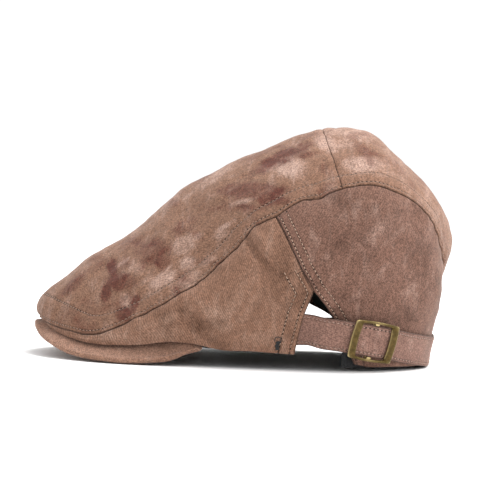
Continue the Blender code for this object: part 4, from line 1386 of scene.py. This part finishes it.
class Graph:
    """Short forms for the node tree of one material."""

    def __init__(self, name):
        self.material = bpy.data.materials.new(name)
        self.material.use_nodes = True
        self.tree = self.material.node_tree
        self.shader = self.tree.nodes["Principled BSDF"]

    def link(self, source, target):
        self.tree.links.new(source, target)

    def feed(self, made, inputs):
        """Link each input to a socket or set it to a value."""
        for key, value in inputs.items():
            if isinstance(value, bpy.types.NodeSocket):
                self.link(value, made.inputs[key])
            else:
                made.inputs[key].default_value = value

    def node(self, kind, inputs=None, **settings):
        made = self.tree.nodes.new(kind)
        for key, value in settings.items():
            setattr(made, key, value)
        self.feed(made, inputs or {})
        return made

    def math(self, operation, first, second=0.0, clamp=False):
        inputs = {0: first, 1: second}
        return self.node("ShaderNodeMath", inputs, operation=operation, use_clamp=clamp).outputs[0]

    def times(self, first, second):
        return self.math("MULTIPLY", first, second)

    def plus(self, first, second, clamp=False):
        return self.math("ADD", first, second, clamp)

    def minus(self, first, second):
        return self.math("SUBTRACT", first, second)

    def ridges(self, run, spacing):
        """Sine ridges this many millimetres apart."""
        return self.math("SINE", self.times(run, 2 * math.pi / spacing))

    def spot(self):
        return self.node("ShaderNodeTexCoord").outputs["Object"]

    def map(self, name):
        return self.node("ShaderNodeUVMap", uv_map=name).outputs[0]

    def scaled(self, colour, tone):
        toned = self.node("ShaderNodeVectorMath", {0: colour}, operation="SCALE")
        self.link(tone, toned.inputs["Scale"])
        return toned.outputs[0]

    def bump(self, height, distance, strength):
        inputs = {"Height": height, "Distance": distance, "Strength": strength}
        return self.node("ShaderNodeBump", inputs).outputs[0]

    def finish(self, colour, roughness, normal, **others):
        """Give the shader its inputs, with spaces for underscores, and return the material."""
        self.feed(self.shader, {"Base Color": colour, "Roughness": roughness})
        if normal is not None:
            self.link(normal, self.shader.inputs["Normal"])
        self.feed(self.shader, {key.replace("_", " "): value for key, value in others.items()})
        return self.material

    def smooth(self, value, start, stop, low=0.0, high=1.0):
        made = self.node("ShaderNodeMapRange", {0: value, 1: start, 2: stop, 3: low, 4: high})
        made.interpolation_type = "SMOOTHSTEP"
        return made.outputs[0]

    def noise(self, vector, scale, detail=2.0, rough=0.5, distortion=0.0):
        inputs = {"Vector": vector, "Scale": scale, "Detail": detail}
        inputs["Roughness"] = rough
        inputs["Distortion"] = distortion
        return self.node("ShaderNodeTexNoise", inputs).outputs["Fac"]

    def mix(self, share, first, second, blend="MIX"):
        made = self.node("ShaderNodeMix", data_type="RGBA", blend_type=blend)
        for key, value in ((0, share), (6, first), (7, second)):
            if isinstance(value, bpy.types.NodeSocket):
                self.link(value, made.inputs[key])
            else:
                made.inputs[key].default_value = (*value, 1.0) if key else value
        return made.outputs[2]

    def split(self, vector):
        return self.node("ShaderNodeSeparateXYZ", {0: vector}).outputs


def stitch_marks(g, rows, pitch):
    """Groove of each stitched row and its needle holes, from the edge map."""
    run, distance, _ = g.split(g.map("edge"))
    phase = g.math("FRACT", g.math("DIVIDE", run, pitch))
    to_hole = g.times(g.math("ABSOLUTE", g.minus(phase, 0.5)), pitch)
    near_hole = g.smooth(to_hole, 0.35, 0.8, 1.0, 0.0)
    groove = None
    for row in rows:
        gap = g.math("ABSOLUTE", g.minus(distance, row))
        line = g.smooth(gap, 0.25, 1.1, 1.0, 0.0)
        tight = g.smooth(gap, 0.25, 0.65, 1.0, 0.0)
        hole = g.times(tight, near_hole)
        groove = line if groove is None else g.math("MAXIMUM", groove, line)
        holes = hole if row == rows[0] else g.math("MAXIMUM", holes, hole)
    return groove, holes, distance


def dye_and_shading_blots(g, place_at, stretched):
    """The dye attribute's pale and dark blots with ragged, streaky edges; on the side panels they carry
    painted fold light and shade.
    """
    dye_and_painted_shading = g.node("ShaderNodeAttribute", attribute_name="dye_and_painted_shading").outputs["Vector"]
    dark_dye_and_shade, pale_dye_and_light, _ = g.split(dye_and_painted_shading)
    ragged = g.times(g.minus(g.noise(place_at, 130.0, 6.0, 0.72, 1.4), 0.5), 1.5)
    streaky = g.times(g.minus(g.noise(stretched, 140.0, 5.0, 0.7, 1.0), 0.5), 1.3)
    edge_noise = g.plus(ragged, streaky)
    dark_blot_and_shade = g.smooth(g.plus(dark_dye_and_shade, g.times(edge_noise, 0.6)), 0.16, 0.72)
    pale_blot_and_light = g.smooth(g.plus(pale_dye_and_light, g.times(edge_noise, 0.6)), 0.16, 0.85)
    uneven = g.smooth(g.noise(place_at, 75.0, 5.0, 0.7, 0.8), 0.36, 0.62)
    dark_blot_and_shade = g.times(dark_blot_and_shade, g.plus(0.5, g.times(uneven, 0.5)))
    pale_blot_and_light = g.times(pale_blot_and_light, g.minus(1.1, g.times(uneven, 0.45)))
    fleck = g.smooth(g.noise(stretched, 210.0, 5.0, 0.75, 0.8), 0.6, 0.72)
    return g.plus(pale_blot_and_light, g.times(fleck, 0.3)), dark_blot_and_shade


def cloth(
    name, base, dark, pale, rows, pitch=STITCH_PITCH, rib=1.3, turn=62, rib_depth=0.5, dye_and_shading_amount=0.0, grain=0.42
):
    """Washed cotton twill: ribs, yarn speckle, faded streaks, stitched rows with painted shade in their
    grooves, needle holes and at the sewn edge, and dye blots if dyed, which on the side panels carry painted
    fold shade and light.
    """
    g = Graph(name)
    place_at = g.spot()
    flat = g.map("cloth")
    rotation = (0, 0, math.radians(turn))
    turned = g.node("ShaderNodeMapping", {"Vector": flat, "Rotation": rotation}).outputs[0]
    wander = g.noise(flat, 0.35, 2.0)
    across, along, _ = g.split(turned)
    bent = g.plus(across, g.times(wander, 0.7))
    ribs = g.ridges(bent, rib)
    yarn = g.ridges(along, 0.62 * rib)
    weave = g.times(ribs, g.plus(0.75, g.times(yarn, 0.25)))
    speckle = g.noise(place_at, 960.0, 2.0, 0.7)
    fine = g.noise(place_at, 330.0, 3.0, 0.7)
    cloud = g.noise(place_at, 46.0, 4.0, 0.55, 0.6)
    stretched = g.node("ShaderNodeMapping", {"Vector": place_at, "Rotation": (math.radians(52), 0, 0)})
    stretched.inputs["Scale"].default_value = (1, 3.4, 1)
    streak = g.noise(stretched.outputs[0], 40.0, 5.0, 0.65, 0.6)
    faded_and_painted_light = g.times(g.smooth(streak, 0.5, 0.74), 0.5)
    shaded = g.times(g.smooth(cloud, 0.52, 0.3), 0.55)
    if dye_and_shading_amount:
        pale_blot_and_light, dark_blot_and_shade = dye_and_shading_blots(g, place_at, stretched.outputs[0])
        # On the side panels the pale blots are partly painted light and the dark ones partly painted shade.
        faded_and_painted_light = g.plus(g.times(faded_and_painted_light, 0.9), g.times(pale_blot_and_light, 0.8 * dye_and_shading_amount), True)
        shaded = g.plus(g.times(shaded, 0.95), g.times(dark_blot_and_shade, 0.95 * dye_and_shading_amount), True)
    colour = g.mix(faded_and_painted_light, base, pale)
    colour = g.mix(shaded, colour, dark)
    tone = g.plus(g.times(weave, 0.26 * rib_depth), 1.0)
    tone = g.times(tone, g.smooth(speckle, 0.3, 0.7, 1 - grain, 1 + grain))
    tone = g.times(tone, g.smooth(fine, 0.3, 0.7, 0.9, 1.1))
    groove, holes, distance = stitch_marks(g, rows, pitch)
    # Painted shade in the rows' grooves and needle holes.
    tone = g.times(tone, g.minus(1.0, g.times(groove, 0.1)))
    tone = g.times(tone, g.minus(1.0, g.times(holes, 0.82)))
    worn = g.times(g.smooth(distance, 0.4, 1.2), g.smooth(distance, 4.5, 1.6))
    tone = g.times(tone, g.plus(1.0, g.times(worn, 0.06)))
    # Painted shade: the cloth darkens towards its sewn edge.
    tone = g.times(tone, g.smooth(distance, 0.1, 1.3, 0.42, 1.0))
    toned = g.scaled(colour, tone)
    height = g.times(weave, 0.055 * rib_depth)
    height = g.plus(height, g.times(speckle, 0.16))
    height = g.plus(height, g.times(fine, 0.22))
    height = g.minus(height, g.times(groove, 0.22))
    height = g.minus(height, g.times(holes, 0.3))
    return g.finish(
        toned, g.smooth(fine, 0.2, 0.8, 0.86, 0.97), g.bump(height, MM, 0.9), Specular_IOR_Level=0.18,
        Sheen_Weight=0.2, Sheen_Roughness=0.45, Sheen_Tint=(0.95, 0.8, 0.72, 1),
    )


def thread(name, colour, contrast=0.25):
    """Twisted sewing thread."""
    g = Graph(name)
    place_at = g.spot()
    fuzz = g.noise(place_at, 2600.0, 2.0)
    tone = g.smooth(fuzz, 0.3, 0.7, 1 - contrast, 1 + contrast)
    return g.finish(g.scaled(colour, tone), 0.75, g.bump(fuzz, 0.2 * MM, 0.7), Sheen_Weight=0.15)


def satin(name, colour, glint):
    """Smooth lining: fine warp lines and a soft lustre."""
    g = Graph(name)
    flat = g.map("cloth")
    place_at = g.spot()
    across, along, _ = g.split(flat)
    warp = g.ridges(across, 0.5)
    weft = g.ridges(along, 0.7)
    slub = g.noise(place_at, 300.0, 3.0)
    mixed = g.mix(g.smooth(g.noise(place_at, 55.0, 3.0), 0.35, 0.65), colour, glint)
    height = g.plus(g.times(g.times(warp, weft), 0.03), g.times(slub, 0.1))
    roughness = g.smooth(slub, 0.3, 0.7, 0.42, 0.58)
    return g.finish(mixed, roughness, g.bump(height, MM, 0.6), Sheen_Weight=0.2)


def tape(name, colour):
    """Ribbed cotton tape of the sweatband, with its sewn lower edge."""
    g = Graph(name)
    flat = g.map("cloth")
    place_at = g.spot()
    ribs = g.ridges(g.split(flat)[0], 1.1)
    fuzz = g.noise(place_at, 900.0, 3.0)
    tone = g.times(g.smooth(fuzz, 0.3, 0.7, 0.75, 1.3), g.plus(1.0, g.times(ribs, 0.2)))
    _, holes, _ = stitch_marks(g, (BAND_ROW,), BAND_PITCH)
    height = g.plus(g.times(ribs, 0.12), g.times(fuzz, 0.2))
    height = g.minus(height, g.times(holes, 0.4))
    return g.finish(g.scaled(colour, tone), 0.85, g.bump(height, MM, 0.8), Sheen_Weight=0.25)


def antique_brass(name):
    """Brushed brass, darkened in the hollows and rubbed bright along the edges."""
    g = Graph(name)
    place_at = g.spot()
    drawn_out = g.node("ShaderNodeMapping", {"Vector": place_at, "Rotation": (math.radians(10), 0, 0)})
    drawn_out.inputs["Scale"].default_value = (1.0, 0.12, 1.0)
    brushed = g.noise(drawn_out.outputs[0], 3200.0, 3.0, 0.6)
    patina = g.noise(place_at, 420.0, 4.0, 0.65)
    pointed = g.node("ShaderNodeNewGeometry").outputs["Pointiness"]
    rubbed = g.smooth(pointed, 0.505, 0.56)
    shade = g.mix(g.smooth(patina, 0.35, 0.68), srgb(52, 41, 20), srgb(80, 64, 35))
    shade = g.mix(g.times(g.smooth(brushed, 0.4, 0.7), 0.3), shade, srgb(108, 89, 52))
    shade = g.mix(g.times(rubbed, 0.75), shade, srgb(205, 184, 132))
    rough = g.plus(g.smooth(patina, 0.3, 0.7, 0.46, 0.3), g.times(brushed, 0.1))
    height = g.plus(g.times(brushed, 0.05), g.times(patina, 0.08))
    return g.finish(shade, rough, g.bump(height, MM, 0.5), Metallic=1.0)


def board_plastic(name):
    """Pale stiffener sheet inside the peak."""
    g = Graph(name)
    place_at = g.spot()
    grain = g.noise(place_at, 700.0, 3.0)
    shade = g.mix(grain, srgb(214, 212, 204), srgb(236, 234, 226))
    return g.finish(shade, 0.5, g.bump(grain, 0.1 * MM, 0.4))


def make_materials():
    return {
        "mottled": cloth(
            "mottled_cotton", srgb(119, 88, 71), srgb(82, 43, 34), srgb(162, 134, 121), TOP_ROWS,
            rib=1.0, turn=48, rib_depth=0.35, dye_and_shading_amount=1.0,
        ),
        "brown": cloth(
            "brown_twill", srgb(123, 91, 74), srgb(90, 64, 50), srgb(154, 125, 109), HEM_ROWS, rib=1.2,
            turn=-28, rib_depth=1.0, dye_and_shading_amount=0.8, grain=0.33,
        ),
        "rosy": cloth(
            "rosy_twill", srgb(109, 80, 68), srgb(80, 56, 46), srgb(150, 122, 110), REAR_ROWS, rib=1.1,
            turn=40, rib_depth=0.5, dye_and_shading_amount=0.8,
        ),
        "visor": cloth(
            "visor_twill", srgb(136, 103, 86), srgb(110, 80, 65), srgb(158, 131, 116), (90.0,), rib=1.3,
            turn=50, rib_depth=0.6,
        ),
        "strap": cloth(
            "strap_twill", srgb(123, 93, 82), srgb(100, 73, 63), srgb(158, 131, 120), STRAP_ROWS,
            pitch=STRAP_PITCH, rib=1.1, turn=60, rib_depth=0.6,
        ),
        "thread": thread("tan_thread", srgb(146, 116, 98)),
        "thread_side": thread("light_thread", srgb(172, 143, 122)),
        "thread_rosy": thread("rosy_thread", srgb(160, 130, 115)),
        "black_thread": thread("black_thread", srgb(22, 22, 24)),
        "lining": satin("dark_satin", srgb(30, 38, 32), srgb(52, 62, 54)),
        "band": tape("black_tape", srgb(30, 30, 32)),
        "brass": antique_brass("antique_brass"),
        "board": board_plastic("peak_board_plastic"),
    }


# ---- stage, light and camera ----

# The view: from the wearer's left, slightly above the rim and a little rolled
VIEW_RISE = math.radians(2.8)
VIEW_ROLL = math.radians(2.0)
VIEW_FROM = 2.2
VIEW_SPAN = 0.312
VIEW_AT = Vector((0.0, -0.00295, 0.07709))
SENSOR = 36.0
FLOOR_HALF = 12.0
ROOM_LIGHT = 1.1
# Soft lights: place, what they point at, size and power
OVERHEAD = ((-0.2, 0.5, 1.5), (0, 0.05, 0.05), 1.2, 31.0)
REAR_FILL = ((0.5, 1.4, 0.6), (0, 0.05, 0.08), 0.9, 6.0)


def make_camera():
    data = bpy.data.cameras.new("camera")
    data.sensor_width = SENSOR
    data.lens = SENSOR * VIEW_FROM / VIEW_SPAN
    data.clip_start = 0.05
    data.clip_end = 50.0
    camera = bpy.data.objects.new("camera", data)
    bpy.context.scene.collection.objects.link(camera)
    back = Vector((math.cos(VIEW_RISE), 0.0, math.sin(VIEW_RISE)))
    right = Vector((0.0, 1.0, 0.0))
    up = back.cross(right)
    level = Matrix((right, up, back)).transposed().to_4x4()
    camera.matrix_world = (
        Matrix.Translation(VIEW_AT + back * VIEW_FROM) @ level @ Matrix.Rotation(VIEW_ROLL, 4, "Z")
    )
    bpy.context.scene.camera = camera


def make_floor():
    mesh = bpy.data.meshes.new("floor")
    half = FLOOR_HALF
    corners = [(-half, -half, 0), (half, -half, 0), (half, half, 0), (-half, half, 0)]
    mesh.from_pydata(corners, [], [(0, 1, 2, 3)])
    floor = bpy.data.objects.new("floor", mesh)
    bpy.context.scene.collection.objects.link(floor)
    g = Graph("floor_white")
    place_at = g.spot()
    tone = g.mix(g.noise(place_at, 3.0), srgb(244, 244, 244), srgb(248, 248, 248))
    mesh.materials.append(g.finish(tone, 0.6, None, Specular_IOR_Level=0.3))


def area_light(name, location, target, size, power):
    data = bpy.data.lights.new(name, "AREA")
    data.shape = "DISK"
    data.size = size
    data.energy = power
    light = bpy.data.objects.new(name, data)
    bpy.context.scene.collection.objects.link(light)
    light.location = location
    light.rotation_mode = "QUATERNION"
    light.rotation_quaternion = (Vector(target) - Vector(location)).to_track_quat("-Z", "Y")


def make_light():
    world = bpy.data.worlds.new("white_room")
    world.use_nodes = True
    shade = world.node_tree.nodes["Background"]
    shade.inputs[0].default_value = (1.0, 1.0, 1.0, 1.0)
    shade.inputs[1].default_value = ROOM_LIGHT
    bpy.context.scene.world = world
    area_light("overhead", *OVERHEAD)
    area_light("rear_fill", *REAR_FILL)
    bpy.context.scene.view_settings.view_transform = "Standard"


def make_scene():
    make_camera()
    make_floor()
    make_light()
    look = make_materials()
    make_tops(look)
    make_sides(look)
    make_linings(look)
    make_sweatbands(look)
    make_peak(look)
    make_strap(look)
    make_buckle(look)
    make_bar_tacks(look)


make_scene()
